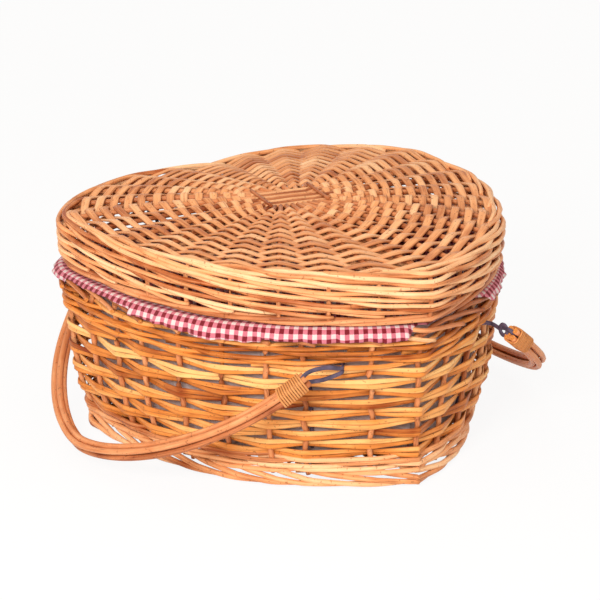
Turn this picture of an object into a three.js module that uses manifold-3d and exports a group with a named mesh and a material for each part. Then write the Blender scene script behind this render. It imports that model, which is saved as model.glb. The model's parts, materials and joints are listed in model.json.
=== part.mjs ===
// A heart-shaped willow picnic basket with a deep woven lid, a cloth lining and two bail handles.
// Millimetres, +Z up. The tip of the heart points to -Y, the hinges are at +Y, and it stands on z = 0.
import * as THREE from "three";
import Module from "manifold-3d";

const wasm = await Module();
wasm.setup();

// Heart, measured on the line of the stakes at the rim
const HEART_WIDTH = 384;
const HEART_LENGTH = 382;
const NOTCH_DEPTH = 10;
const CREST_X = 69; // from the centre line to the furthest point of a lobe
const WIDEST_Y = 297; // from the tip
const LOBE_FULLNESS = 0.42; // 0.55 would be a quarter of an ellipse
const TIP_HALF_ANGLE = 69; // degrees between the centre line and either side
const TIP_ARM = 157; // how far the sides run on before they curve
const SIDE_ARM = 140;
const FOOT_INSET = 19.5; // the walls lean in by this much from the rim down to the floor

// Willow
const STAKES = 28;
const STAKE_RADIUS = 2.6;
const SPOKE_RADIUS = 2;
const ROD_RADIUS = 2.8;
const BORDER_RADIUS = 4.2;
const STRIP_HEIGHT = 9;
const STRIP_THICKNESS = 2.2;
const STRIP_SPACE = 0.8; // between one row of strips and the next
const TOP_STRIP_SPACE = 0.6; // between rings of the lid's top, where they are closest
const TOP_STRIP_THICKNESS = 1.6;
const FOOT_ROWS = 3;
const SIDE_ROWS = 9;
const RIM_ROWS = 4;
const SKIRT_ROWS = 5;
const TOP_ROWS = 8;
const FOOT_GAP = 8; // open all round, between the foot border and the lowest rod
const LACE_GAP = 5; // open all round, for leather: under the upper wale and over the lid border
const RIM_GAP = 8; // open all round under the rim border, behind the ruffle
const BASE_THICKNESS = 4;
const CLEARANCE = 0.3;

// Lid
const LID_BORDER_OUT = 6; // outside the line of the stakes
const SKIRT_OUT = 8; // outside the line of the basket's stakes
const STAKE_END = 3; // each lid stake is pushed in this far beside its spoke
const LID_CORNER = 7;
const DOME = 8;
const SLATH_LENGTH = 54;
const SLATH_WIDTH = 44;
const SLATH_STICKS = 7;
const SLATH_BACK = 38; // behind the middle of the heart's length
const SLATH_TURN = -10; // degrees from the line across the heart
const FIRST_TOP_RING = 0.2; // share of the way from the slath to the edge
const LAST_TOP_RING = 0.91;

// Cloth
const CLOTH = 1.5;
const RUFFLE_DROP = 11; // along the sides
const RUFFLE_SHORT = 5; // at the tip, and over the hinges
const RUFFLE_TUCK = 9; // inside the bag
const FOLD_DEPTH = 2;
const FOLD_POINTS = 2; // ring points from one stake to the next

// Leather
const LACE_RADIUS = 1.8;
const LACE_TAIL = 88;
const LACE_STEPS = 24;
const HINGE_STAKE = 12.6; // place of each hinge loop, counted in stakes from the tip

// Handles
const FRONT_STAKE = 2.2; // places of the pins, counted in stakes from the tip
const REAR_STAKE = 12;
const LEFT_LACE = 1.75; // places where the laces pass through the wall
const RIGHT_LACE = 2.75;
const REAR_LACE = 12.5;
const PIN_OUT = 34;
const PIN_UP = 8; // above the holes that the laces pass through
const BAIL_RISE = 176;
const BAIL_SHAPE = 1.69; // power of the bail's curve, 2 would be an ellipse
const BAIL_ROD = 3.3;
const BAIL_STEPS = 13; // between the bound ends
const BAIL_END = 8; // the rods run on this far past the pin
const BAIL_CLOSING = 30; // length over which the rods close up behind the binding
const REST_ANGLE = 52; // degrees from hanging straight down
const CANE_RADIUS = 0.9;
const CANE_PITCH = 2.6;
const END_TURNS = 1.5;
const MAIN_TURNS = 7;
const PIN_SPACE = 1.2; // from the lace to the nearest turn on either side

// Colours
const WILLOW = 0xd9933f;
const PEELED = 0xe0a566;
const PINKISH = 0xc98255;
const GINGHAM = 0xd0707e;
const LEATHER = 0x4a3f52;

const group = new THREE.Group();

function add(name, geometry, color, roughness) {
  const material = new THREE.MeshStandardMaterial({ color, roughness, metalness: 0 });
  const mesh = new THREE.Mesh(geometry, material);
  mesh.name = name;
  group.add(mesh);
}

// Skin over rings of points, as many in each. Closed rings of rings have no ends, others get two caps.
function loft(rings, closed) {
  const sides = rings[0].length;
  const faces = [];
  const spans = closed ? rings.length : rings.length - 1;
  for (let r = 0; r < spans; r++) {
    for (let s = 0; s < sides; s++) {
      const a = r * sides + s;
      const b = r * sides + ((s + 1) % sides);
      const next = (r + 1) % rings.length;
      const c = next * sides + ((s + 1) % sides);
      const d = next * sides + s;
      faces.push([a, b, c], [a, c, d]);
    }
  }
  if (!closed) {
    const end = (rings.length - 1) * sides;
    for (let s = 1; s < sides - 1; s++) {
      faces.push([0, s + 1, s], [end, end + s, end + s + 1]);
    }
  }
  return skin(rings.flat(), faces);
}

// Geometry from points and faces, turned so that the faces point out
function skin(points, faces) {
  const volume = faces.reduce(
    (sum, [a, b, c]) => sum + points[a].dot(points[b].clone().cross(points[c])),
    0,
  );
  const outward = volume < 0 ? faces.map(([a, b, c]) => [a, c, b]) : faces;
  const geometry = new THREE.BufferGeometry().setFromPoints(points);
  geometry.setIndex(outward.flat());
  geometry.computeVertexNormals();
  return geometry;
}

function solid(geometry) {
  const vertProperties = new Float32Array(geometry.getAttribute("position").array);
  const triVerts = new Uint32Array(geometry.index.array);
  return new wasm.Manifold(new wasm.Mesh({ numProp: 3, vertProperties, triVerts }));
}

function fromSolid(shape) {
  const mesh = shape.getMesh();
  const geometry = new THREE.BufferGeometry();
  geometry.setAttribute("position", new THREE.BufferAttribute(mesh.vertProperties, 3));
  geometry.setIndex(new THREE.BufferAttribute(mesh.triVerts, 1));
  geometry.computeVertexNormals();
  return geometry;
}

function fuse(geometries) {
  return fromSolid(wasm.Manifold.union(geometries.map(solid)));
}

// Sections, as [out, up] pairs
function round(radius, sides) {
  return Array.from({ length: sides }, (_, k) => {
    const turn = (k * 2 * Math.PI) / sides;
    return [radius * Math.cos(turn), radius * Math.sin(turn)];
  });
}

function flat(width, height) {
  const w = width / 2;
  const h = height / 2;
  return [[w, -h], [w, h], [-w, h], [-w, -h]];
}

// A straight-sided rod through a few points. across is about square to all of it.
function rod(points, radius, across, sides = 4) {
  const rings = points.map((point, i) => {
    const before = points[Math.max(i - 1, 0)];
    const after = points[Math.min(i + 1, points.length - 1)];
    const coming = (i ? point.clone().sub(before) : after.clone().sub(point)).normalize();
    const going = (i < points.length - 1 ? after.clone().sub(point) : coming.clone()).normalize();
    const along = coming.clone().add(going).normalize();
    const u = across.clone().addScaledVector(along, -across.dot(along)).normalize();
    const v = along.clone().cross(u).divideScalar(along.dot(coming));
    return round(radius, sides).map(([a, b]) =>
      point.clone().addScaledVector(u, a).addScaledVector(v, b),
    );
  });
  return loft(rings, false);
}

// Half the heart from the tip round to the notch, then the stakes at even steps along both halves
const tip = new THREE.Vector2(0, -HEART_LENGTH / 2);
const widest = new THREE.Vector2(HEART_WIDTH / 2, WIDEST_Y - HEART_LENGTH / 2);
const crest = new THREE.Vector2(CREST_X, HEART_LENGTH / 2);
const notch = new THREE.Vector2(0, crest.y - NOTCH_DEPTH);
const tipAngle = THREE.MathUtils.degToRad(TIP_HALF_ANGLE);
const fromTip = new THREE.Vector2(Math.sin(tipAngle), Math.cos(tipAngle)).multiplyScalar(TIP_ARM);
const lobe = crest.clone().sub(widest).multiplyScalar(LOBE_FULLNESS);
const half = new THREE.CurvePath();
half.add(
  new THREE.CubicBezierCurve(
    tip,
    tip.clone().add(fromTip),
    new THREE.Vector2(widest.x, widest.y - SIDE_ARM),
    widest,
  ),
);
half.add(
  new THREE.CubicBezierCurve(
    widest,
    new THREE.Vector2(widest.x, widest.y + lobe.y),
    new THREE.Vector2(crest.x - lobe.x, crest.y),
    crest,
  ),
);
half.add(
  new THREE.CubicBezierCurve(
    crest,
    new THREE.Vector2(crest.x / 2, crest.y),
    new THREE.Vector2(crest.x / 4, notch.y + NOTCH_DEPTH * 0.6),
    notch,
  ),
);
const rightSide = half.getSpacedPoints(STAKES / 2);
const leftSide = rightSide
  .slice(1, -1)
  .reverse()
  .map((p) => new THREE.Vector2(-p.x, p.y));
const corners = [...rightSide, ...leftSide];

// out is the mitre at the stake: one millimetre of wall thickness along both neighbouring sides
const stakes = corners.map((p, i) => {
  const before = corners[(i + STAKES - 1) % STAKES];
  const after = corners[(i + 1) % STAKES];
  const coming = p.clone().sub(before).normalize();
  const going = after.clone().sub(p).normalize();
  const along = coming.clone().add(going).normalize();
  const out = new THREE.Vector2(along.y, -along.x).divideScalar(along.dot(coming));
  return { x: p.x, y: p.y, out, pitch: Math.min(p.distanceTo(before), p.distanceTo(after)) };
});

// A place between stakes, such as 2.25 for a quarter of the way from stake 2 to stake 3
function between(place) {
  const a = stakes[Math.floor(place) % STAKES];
  const b = stakes[(Math.floor(place) + 1) % STAKES];
  const share = place - Math.floor(place);
  return {
    x: THREE.MathUtils.lerp(a.x, b.x, share),
    y: THREE.MathUtils.lerp(a.y, b.y, share),
    out: a.out.clone().lerp(b.out, share),
  };
}

// Heights, from the floor up. The lid turns in its hinge loops, and the lobes of its border reach
// back past the loops, so the border needs room to dip.
const borderHeight = Math.sqrt(3) * BORDER_RADIUS;
const backOfLid = (spot) => spot.y + spot.out.y * LID_BORDER_OUT;
const pastHinge = Math.max(...stakes.map(backOfLid)) - backOfLid(between(HINGE_STAKE));
const turningRoom = pastHinge + BORDER_RADIUS - borderHeight / 2;
const rodPitch = Math.sqrt(3) * ROD_RADIUS + CLEARANCE;
const rowPitch = STRIP_HEIGHT + STRIP_SPACE;
const footWale = borderHeight + FOOT_GAP;
const sideBottom = footWale + FOOT_ROWS * rodPitch;
const laceZ = sideBottom + SIDE_ROWS * rowPitch + LACE_GAP / 2;
const rimWale = laceZ + LACE_GAP / 2;
const rimTop = rimWale + RIM_ROWS * rodPitch + RIM_GAP + borderHeight;
const lidBottom = rimTop + CLEARANCE + CLOTH + turningRoom + CLEARANCE;
const lidBorderZ = lidBottom + borderHeight / 2;
const skirtBottom = lidBottom + borderHeight + LACE_GAP;
const skirtTop = skirtBottom + SKIRT_ROWS * rodPitch;
const topEdge = skirtTop + LID_CORNER;

// A point of the leaning wall, out from the line of the stakes
function onWall(stake, out, z) {
  const d = out - FOOT_INSET * (1 - z / rimTop);
  return new THREE.Vector3(stake.x + stake.out.x * d, stake.y + stake.out.y * d, z);
}

// A point of the upright lid
function onLid(stake, out, z) {
  return new THREE.Vector3(stake.x + stake.out.x * out, stake.y + stake.out.y * out, z);
}

// Level, along the wall
function wallway(stake) {
  return new THREE.Vector3(-stake.out.y, stake.out.x, 0).normalize();
}

// How far a weaver's centre line swings out at each stake so that it clears the stake by distance,
// measured square to the slope that it takes on its way to the far side of the next one
function swing(distance, pitch) {
  return distance / Math.sqrt(1 - (4 * distance * distance) / (pitch * pitch));
}

// One row round the heart: before(i) says whether it passes in front of stake i
function weave(place, z, section, distance, before) {
  const rings = stakes.map((stake, i) => {
    const out = (before(i) ? 1 : -1) * swing(distance, stake.pitch);
    return section.map(([u, v]) => place(stake, out + u, z + v));
  });
  return loft(rings, true);
}

function ring(place, out, z, section) {
  return loft(
    stakes.map((stake) => section.map(([u, v]) => place(stake, out + u, z + v))),
    true,
  );
}

// In front of one, behind one; and in front of two, behind one
const randing = (row) => (i) => (i + row) % 2 === 0;
const waling = (row) => (i) => (i + row) % 3 !== 0;

const rodDistance = STAKE_RADIUS + CLEARANCE + ROD_RADIUS;
const stripDistance = STAKE_RADIUS + CLEARANCE + STRIP_THICKNESS / 2;
const skirtDistance = SPOKE_RADIUS + CLEARANCE + ROD_RADIUS;
const leastPitch = Math.min(...stakes.map((stake) => stake.pitch));
const wallReach = swing(rodDistance, leastPitch) + ROD_RADIUS + CLEARANCE;
const rodSection = round(ROD_RADIUS, 6);
const borderSection = round(BORDER_RADIUS, 6);

// Stakes, and the two borders that their ends are turned down into
function stakeFrame() {
  const rimZ = rimTop - borderHeight / 2;
  const uprights = stakes.map((stake) =>
    rod(
      [onWall(stake, 0, borderHeight / 2), onWall(stake, 0, rimZ)],
      STAKE_RADIUS,
      wallway(stake),
    ),
  );
  const foot = ring(onWall, 0, borderHeight / 2, borderSection);
  const rim = ring(onWall, 0, rimZ, borderSection);
  return fuse([foot, rim, ...uprights]);
}

function sides() {
  add("stake_frame", stakeFrame(), PINKISH, 0.6);
  for (let row = 0; row < FOOT_ROWS; row++) {
    const z = footWale + (row + 0.5) * rodPitch;
    add(`foot_wale_${row + 1}`, weave(onWall, z, rodSection, rodDistance, waling(row)), WILLOW, 0.6);
  }
  const strip = flat(STRIP_THICKNESS, STRIP_HEIGHT);
  for (let row = 0; row < SIDE_ROWS; row++) {
    const z = sideBottom + (row + 0.5) * rowPitch;
    add(`side_row_${row + 1}`, weave(onWall, z, strip, stripDistance, randing(row)), WILLOW, 0.55);
  }
  for (let row = 0; row < RIM_ROWS; row++) {
    const z = rimWale + (row + 0.5) * rodPitch;
    add(`rim_wale_${row + 1}`, weave(onWall, z, rodSection, rodDistance, waling(row)), WILLOW, 0.6);
  }
}

// The slath stands behind the middle, and is turned a little
const slathTurn = THREE.MathUtils.degToRad(SLATH_TURN);
function onSlath(x, y, z) {
  const point = new THREE.Vector3(x, y, z).applyAxisAngle(new THREE.Vector3(0, 0, 1), slathTurn);
  point.y += SLATH_BACK;
  return point;
}

// Spokes fan out from the four sides of the slath, one to each stake
const frontSpokes = 9;
const sideSpokes = 6;
const backSpokes = STAKES - frontSpokes - 2 * sideSpokes;
function slathPoint(i) {
  const spread = (k, count, length) => ((k + 0.5) / count - 0.5) * length;
  const front = (i + (frontSpokes - 1) / 2) % STAKES;
  if (front < frontSpokes) {
    return [spread(front, frontSpokes, SLATH_LENGTH), -SLATH_WIDTH / 2];
  }
  const right = front - frontSpokes;
  if (right < sideSpokes) return [SLATH_LENGTH / 2, spread(right, sideSpokes, SLATH_WIDTH)];
  const back = right - sideSpokes;
  if (back < backSpokes) return [-spread(back, backSpokes, SLATH_LENGTH), SLATH_WIDTH / 2];
  return [-SLATH_LENGTH / 2, -spread(back - backSpokes, sideSpokes, SLATH_WIDTH)];
}

// Two straight stretches from the slath to the edge make the slow dome of the lid's top. beside moves
// the outer end along the wall, to lie next to a stake.
function spokes(edgeOut, edgeZ, rise, place, beside) {
  return stakes.map((stake, i) => {
    const [x, y] = slathPoint(i);
    const inner = onSlath(x, y, edgeZ + rise);
    const edge = place(stake, edgeOut, edgeZ).addScaledVector(wallway(stake), beside);
    const middle = inner.clone().lerp(edge, 0.5);
    middle.z = edgeZ + rise * 0.75;
    const at = (share) =>
      share < 0.5
        ? inner.clone().lerp(middle, share * 2)
        : middle.clone().lerp(edge, share * 2 - 1);
    return { inner, middle, edge, at, length: inner.distanceTo(edge), stake };
  });
}

function slath(z, radius) {
  const pitch = SLATH_WIDTH / SLATH_STICKS;
  const sticks = Array.from({ length: SLATH_STICKS }, (_, k) => {
    const y = (k + 0.5) * pitch - SLATH_WIDTH / 2;
    const reach = SLATH_LENGTH / 2 + radius;
    return rod(
      [onSlath(-reach, y, z), onSlath(reach, y, z)],
      (pitch / Math.sqrt(3)) * 1.02,
      new THREE.Vector3(0, 1, 0),
      6,
    );
  });
  return sticks;
}

function lid() {
  const corner = SKIRT_OUT - LID_CORNER;
  const ribs = spokes(corner, topEdge, DOME, onLid, 2 * SPOKE_RADIUS + CLEARANCE);
  const sticks = ribs.map(({ inner, middle, edge, stake }) =>
    rod([edge, middle, inner], SPOKE_RADIUS, wallway(stake)),
  );
  const middleSticks = slath(topEdge + DOME, SPOKE_RADIUS);
  add("lid_spokes", fuse([...sticks, ...middleSticks]), PINKISH, 0.6);

  const uprights = ribs.map(({ stake, edge, middle }) => {
    const inward = middle.clone().sub(edge).normalize();
    return rod(
      [
        onLid(stake, LID_BORDER_OUT, lidBorderZ),
        onLid(stake, SKIRT_OUT, skirtBottom),
        onLid(stake, SKIRT_OUT, skirtTop),
        onLid(stake, corner, topEdge),
        onLid(stake, corner, topEdge).addScaledVector(inward, STAKE_END),
      ],
      SPOKE_RADIUS,
      wallway(stake),
    );
  });
  const border = ring(onLid, LID_BORDER_OUT, lidBorderZ, borderSection);
  add("lid_stakes", fuse([border, ...uprights]), PINKISH, 0.6);

  const skirtPlace = (stake, out, z) => onLid(stake, out + SKIRT_OUT, z);
  for (let row = 0; row < SKIRT_ROWS; row++) {
    const z = skirtBottom + (row + 0.5) * rodPitch;
    const rods = weave(skirtPlace, z, rodSection, skirtDistance, waling(row));
    add(`lid_skirt_${row + 1}`, rods, PEELED, 0.6);
  }

  const distance = SPOKE_RADIUS + CLEARANCE + TOP_STRIP_THICKNESS / 2;
  const step = (LAST_TOP_RING - FIRST_TOP_RING) / (TOP_ROWS - 1);
  const shortest = Math.min(...ribs.map((rib) => rib.length));
  const stripWidth = step * shortest - TOP_STRIP_SPACE;
  const section = flat(stripWidth, TOP_STRIP_THICKNESS);
  for (let row = 0; row < TOP_ROWS; row++) {
    const share = FIRST_TOP_RING + row * step;
    const near = share - stripWidth / 2 / shortest;
    const rings = ribs.map((rib, i) => {
      const before = ribs[(i + STAKES - 1) % STAKES].at(near);
      const after = ribs[(i + 1) % STAKES].at(near);
      const here = rib.at(near);
      const pitch = Math.min(here.distanceTo(before), here.distanceTo(after));
      const up = (randing(row)(i) ? 1 : -1) * swing(distance, pitch);
      return section.map(([u, v]) => {
        const point = rib.at(share + u / rib.length);
        point.z += up + v;
        return point;
      });
    });
    add(`lid_ring_${row + 1}`, loft(rings, true), PEELED, 0.55);
  }
}

// Base: sticks that fan out to every second stake inside the foot wale, with a woven floor on them
const baseOut = -wallReach - 2 * CLEARANCE;
const stickZ = footWale + SPOKE_RADIUS;
const floorZ = stickZ + SPOKE_RADIUS + CLEARANCE;
function base() {
  const ribs = spokes(baseOut, stickZ, 0, onWall, 0);
  const sticks = ribs
    .filter((_, i) => i % 2 === 0)
    .map(({ inner, edge, stake }) => rod([inner, edge], SPOKE_RADIUS, wallway(stake)));
  add("base_sticks", fuse([...slath(stickZ, SPOKE_RADIUS), ...sticks]), PINKISH, 0.65);
  const panel = stakes.map((stake) => onWall(stake, baseOut, floorZ));
  const shape = new THREE.Shape(panel.map((p) => new THREE.Vector2(p.x, p.y)));
  const geometry = new THREE.ExtrudeGeometry(shape, { depth: BASE_THICKNESS, bevelEnabled: false });
  add("base_floor", geometry.translate(0, 0, slathTop), WILLOW, 0.65);
}
const slathTop = stickZ + (SLATH_WIDTH / SLATH_STICKS / Math.sqrt(3)) * 1.02 + CLEARANCE;
const bagBottom = slathTop + BASE_THICKNESS + CLEARANCE;

// The bag stands inside the wall, with room for the laces' tails: one heart-shaped tub of cloth
const bagOut = -wallReach - 2 * LACE_RADIUS - 4 * CLEARANCE;
function liningBag() {
  const wall = bagOut;
  const top = rimTop - CLOTH;
  const outer = [[wall, bagBottom], [wall, top]];
  const inner = [[wall - CLOTH, top], [wall - CLOTH, bagBottom + CLOTH]];
  const profile = [...outer, ...inner];
  const points = stakes.flatMap((stake) => profile.map(([out, z]) => onWall(stake, out, z)));
  const under = points.push(new THREE.Vector3(0, 0, bagBottom)) - 1;
  const over = points.push(new THREE.Vector3(0, 0, bagBottom + CLOTH)) - 1;
  const faces = [];
  const n = profile.length;
  for (let i = 0; i < STAKES; i++) {
    const here = i * n;
    const next = ((i + 1) % STAKES) * n;
    for (let k = 0; k < n - 1; k++) {
      faces.push([here + k, next + k, next + k + 1], [here + k, next + k + 1, here + k + 1]);
    }
    faces.push([here, under, next], [here + n - 1, next + n - 1, over]);
  }
  return skin(points, faces);
}

// The ruffle is sewn inside the bag's top edge, turned out over the rim, and hangs in folds. It is
// drawn up at the tip and over the hinges.
function ruffle() {
  const count = STAKES * FOLD_POINTS;
  const inside = bagOut - CLOTH - CLEARANCE;
  const over = rimTop + CLEARANCE;
  const rings = Array.from({ length: count }, (_, k) => {
    const place = between(k / FOLD_POINTS);
    const fold = k % FOLD_POINTS ? 0 : FOLD_DEPTH;
    const stake = Math.min(k, count - k) / FOLD_POINTS;
    const pastTip = THREE.MathUtils.smoothstep(stake, 0.5, 1.2);
    const beforeHinge = 1 - THREE.MathUtils.smoothstep(stake, HINGE_STAKE - 1.4, HINGE_STAKE - 0.6);
    const hem = over - THREE.MathUtils.lerp(RUFFLE_SHORT, RUFFLE_DROP, pastTip * beforeHinge);
    return [
      [inside, over - RUFFLE_TUCK],
      [inside, over],
      [wallReach, over],
      [wallReach + fold, hem],
      [wallReach + fold + CLOTH, hem],
      [wallReach + CLOTH, over + CLOTH],
      [inside - CLOTH, over + CLOTH],
      [inside - CLOTH, over - RUFFLE_TUCK],
    ].map(([out, z]) => onWall(place, out, z));
  });
  const slots = hingePlaces.flatMap((place) => hingeLoop(place, CLEARANCE + CLOTH / 5));
  return fromSolid(solid(loft(rings, true)).subtract(wasm.Manifold.union(slots.map(solid))));
}

// A leather loop round the rim border and the lid border, square to both
const hingePlaces = [HINGE_STAKE, STAKES - HINGE_STAKE];
function hingeLoop(place, extra) {
  const spot = between(place);
  const low = onWall(spot, 0, rimTop - borderHeight / 2);
  const high = onLid(spot, LID_BORDER_OUT, lidBorderZ);
  const upward = high.clone().sub(low).normalize();
  const sideways = new THREE.Vector3(1, 0, 0);
  const outward = upward.clone().cross(sideways);
  const radius = BORDER_RADIUS + 2 * CLEARANCE + LACE_RADIUS;
  const rings = Array.from({ length: 16 }, (_, k) => {
    const turn = ((k + 0.5) * Math.PI) / 8;
    const centre = k < 8 ? high : low;
    const away = outward
      .clone()
      .multiplyScalar(Math.cos(turn))
      .addScaledVector(upward, Math.sin(turn));
    const middle = centre.clone().addScaledVector(away, radius / Math.cos(Math.PI / 16));
    return round(LACE_RADIUS + extra, 6).map(([u, v]) =>
      middle.clone().addScaledVector(away, u).addScaledVector(sideways, v),
    );
  });
  return loft(rings, true);
}

// Handles. Each swings on two laces, and its rods run in a plane through both pins.
// mirror is 1 on the right and -1 on the left.
function pinPoint(place, mirror) {
  const spot = between(place);
  const p = onWall(spot, PIN_OUT, laceZ);
  p.z += PIN_UP;
  return new THREE.Vector3(mirror * p.x, p.y, p.z);
}

function bailFrame(mirror) {
  const front = pinPoint(FRONT_STAKE, mirror);
  const rear = pinPoint(REAR_STAKE, mirror);
  const axis = rear.clone().sub(front).normalize();
  const level = new THREE.Vector3(mirror * axis.y, -mirror * axis.x, 0);
  const lean = THREE.MathUtils.degToRad(REST_ANGLE);
  const outward = level.multiplyScalar(Math.sin(lean)).add(new THREE.Vector3(0, 0, -Math.cos(lean)));
  const middle = front.clone().lerp(rear, 0.5);
  const reach = front.distanceTo(rear) / 2;
  return { front, rear, axis, outward, normal: axis.clone().cross(outward), middle, reach };
}

// The bail's centre line in its own plane, from past the front pin to past the rear one
function bailCurve(reach) {
  const steps = 40;
  const power = 2 / BAIL_SHAPE;
  const points = Array.from({ length: steps + 1 }, (_, k) => {
    const turn = (k * Math.PI) / steps;
    const along = Math.sign(-Math.cos(turn)) * Math.abs(Math.cos(turn)) ** power * reach;
    return new THREE.Vector3(along, Math.sin(turn) ** power * BAIL_RISE, 0);
  });
  points[0].y = 0;
  points[steps].y = 0;
  points.unshift(new THREE.Vector3(-reach, -BAIL_END, 0));
  points.push(new THREE.Vector3(reach, -BAIL_END, 0));
  return new THREE.CatmullRomCurve3(points, false, "centripetal");
}

// Where the curve is after a length, with its directions, in the part's own frame
function bailPlace(frame, curve, length) {
  const share = THREE.MathUtils.clamp(length / curve.getLength(), 0, 1);
  const point = curve.getPointAt(share);
  const along = curve.getTangentAt(share);
  const turned = (a, b) =>
    frame.axis.clone().multiplyScalar(a).addScaledVector(frame.outward, b);
  return {
    point: frame.middle.clone().add(turned(point.x, point.y)),
    across: turned(along.y, -along.x),
    along: turned(along.x, along.y),
    normal: frame.normal,
  };
}

const closeSpacing = BAIL_ROD + CLEARANCE;
const openSpacing = BAIL_ROD + LACE_RADIUS + CLEARANCE;
const bindingStart = BAIL_END + LACE_RADIUS + PIN_SPACE + CANE_RADIUS;
const bindingEnd = bindingStart + MAIN_TURNS * CANE_PITCH + CANE_RADIUS;

// Two pairs of rods: they stand apart at the pins, so that the lace passes between them
function bailRods(name, frame, curve) {
  const total = curve.getLength();
  const bound = [0, 1 / 3, 2 / 3].map((share) => share * bindingEnd);
  const free = Array.from({ length: BAIL_STEPS + 1 }, (_, k) =>
    THREE.MathUtils.lerp(bindingEnd, total - bindingEnd, k / BAIL_STEPS),
  );
  const lengths = [...bound, ...free, ...bound.map((length) => total - length).reverse()];
  const signs = [[1, 1], [-1, 1], [-1, -1], [1, -1]];
  signs.forEach(([a, b], index) => {
    const rings = lengths.map((length) => {
      const { point, across, normal } = bailPlace(frame, curve, length);
      const fromEnd = Math.min(length, total - length);
      const closed = THREE.MathUtils.smoothstep(fromEnd, bindingEnd, bindingEnd + BAIL_CLOSING);
      const spacing = THREE.MathUtils.lerp(openSpacing, closeSpacing, closed);
      const centre = point
        .clone()
        .addScaledVector(across, a * closeSpacing)
        .addScaledVector(normal, b * spacing);
      return round(BAIL_ROD, 5).map(([u, v]) =>
        centre.clone().addScaledVector(across, u).addScaledVector(normal, v),
      );
    });
    add(`${name}_rod_${index + 1}`, loft(rings, false), PINKISH, 0.55);
  });
}

// One unbroken cane: a turn and a half at the very end, a step over the lace, then the main turns.
// Each turn is eight straight stretches round the four rods.
function binding(name, frame, curve, fromRear) {
  const total = curve.getLength();
  const radius = (BAIL_ROD + 2 * CLEARANCE + CANE_RADIUS) / Math.cos(Math.PI / 8);
  const first = BAIL_END - LACE_RADIUS - PIN_SPACE - CANE_RADIUS - (END_TURNS - 0.5) * CANE_PITCH;
  const stretches = 8 * (END_TURNS + MAIN_TURNS);
  const centres = [];
  const rings = Array.from({ length: stretches + 1 }, (_, k) => {
    const turns = k / 8;
    const stepped = THREE.MathUtils.clamp((turns - END_TURNS + 0.5) * 2, 0, 1);
    const beforeStep = first + Math.min(turns, END_TURNS - 0.5) * CANE_PITCH;
    const afterStep = Math.max(turns - END_TURNS, 0) * CANE_PITCH;
    const length = THREE.MathUtils.lerp(beforeStep, bindingStart, stepped) + afterStep;
    const place = bailPlace(frame, curve, fromRear ? total - length : length);
    const turn = ((k + 0.5) * Math.PI) / 4;
    const away = place.across
      .clone()
      .multiplyScalar(Math.cos(turn))
      .addScaledVector(place.normal, Math.sin(turn));
    const centre = place.point
      .clone()
      .addScaledVector(place.across, Math.sign(Math.cos(turn)) * closeSpacing)
      .addScaledVector(place.normal, Math.sign(Math.sin(turn)) * openSpacing)
      .addScaledVector(away, radius);
    centres.push(centre);
    return [[1, 0], [0, 1], [-1, 0], [0, -1]].map(([u, v]) =>
      centre
        .clone()
        .addScaledVector(away, u * CANE_RADIUS)
        .addScaledVector(place.along, v * CANE_RADIUS),
    );
  });
  let least = Infinity;
  centres.forEach((a, i) => {
    centres.slice(i + 5).forEach((b) => {
      least = Math.min(least, a.distanceTo(b) - 2 * CANE_RADIUS);
    });
  });
  console.log(`${name}: least gap between its turns ${least.toFixed(2)} mm`);
  add(name, loft(rings, false), PEELED, 0.5);
}

// A lace comes through the wall beside the pin and runs through the rods along the hinge axis, with a
// turn round their ends. Then it goes back in through the wall, or is tied beside the rods. One tail runs
// down inside the wall.
function lace(name, frame, place, mirror, fromRear, tied) {
  const pin = fromRear ? frame.rear : frame.front;
  const outward = fromRear ? frame.axis.clone() : frame.axis.clone().negate();
  const besides = new THREE.Vector3(outward.y, -outward.x, 0);
  if (besides.x * mirror > 0) besides.negate();
  const half = closeSpacing + BAIL_ROD + 2 * CANE_RADIUS + CLEARANCE + LACE_RADIUS;
  const turnRoom = BAIL_END + CANE_RADIUS + 2 * CLEARANCE + LACE_RADIUS + 3;
  const entry = between(place);
  const wallAlong = new THREE.Vector3(-mirror * entry.out.y, entry.out.x, 0).normalize();
  if (wallAlong.dot(besides) < 0) wallAlong.negate();
  const behind = -wallReach - LACE_RADIUS + CLEARANCE;
  const wall = (out, z, shift) => {
    const p = onWall(entry, out, z);
    return new THREE.Vector3(mirror * p.x, p.y, p.z).addScaledVector(wallAlong, shift);
  };
  const strand = (shift, tail) => [
    wall(behind, laceZ - tail, shift),
    wall(behind, laceZ - tail / 2, shift),
    wall(behind, laceZ - 3 * LACE_RADIUS, shift),
    wall(behind / 2, laceZ, shift),
    wall(0, laceZ, shift),
    wall(wallReach, laceZ, shift),
  ];
  const at = (out, beside) =>
    pin.clone().addScaledVector(outward, out).addScaledVector(besides, beside);
  const turn = [
    at(half * 0.75, turnRoom),
    at(half + LACE_RADIUS, turnRoom / 2),
    at(half, 0),
    at(0, 0),
    at(-half, 0),
  ];
  const near = 1.5 * LACE_RADIUS;
  const points = tied
    ? [...strand(0, LACE_TAIL), ...turn.reverse(), at(0, turnRoom)]
    : [...strand(near, LACE_TAIL), ...turn, ...strand(-near, LACE_TAIL / 4).reverse()];
  const path = new THREE.CatmullRomCurve3(points, false, "centripetal");
  const section = new THREE.Shape(
    round(LACE_RADIUS, 5).map(([u, v]) => new THREE.Vector2(u, v)),
  );
  const geometry = new THREE.ExtrudeGeometry(section, { steps: LACE_STEPS, extrudePath: path });
  add(name, geometry, LEATHER, 0.75);
}

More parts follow.
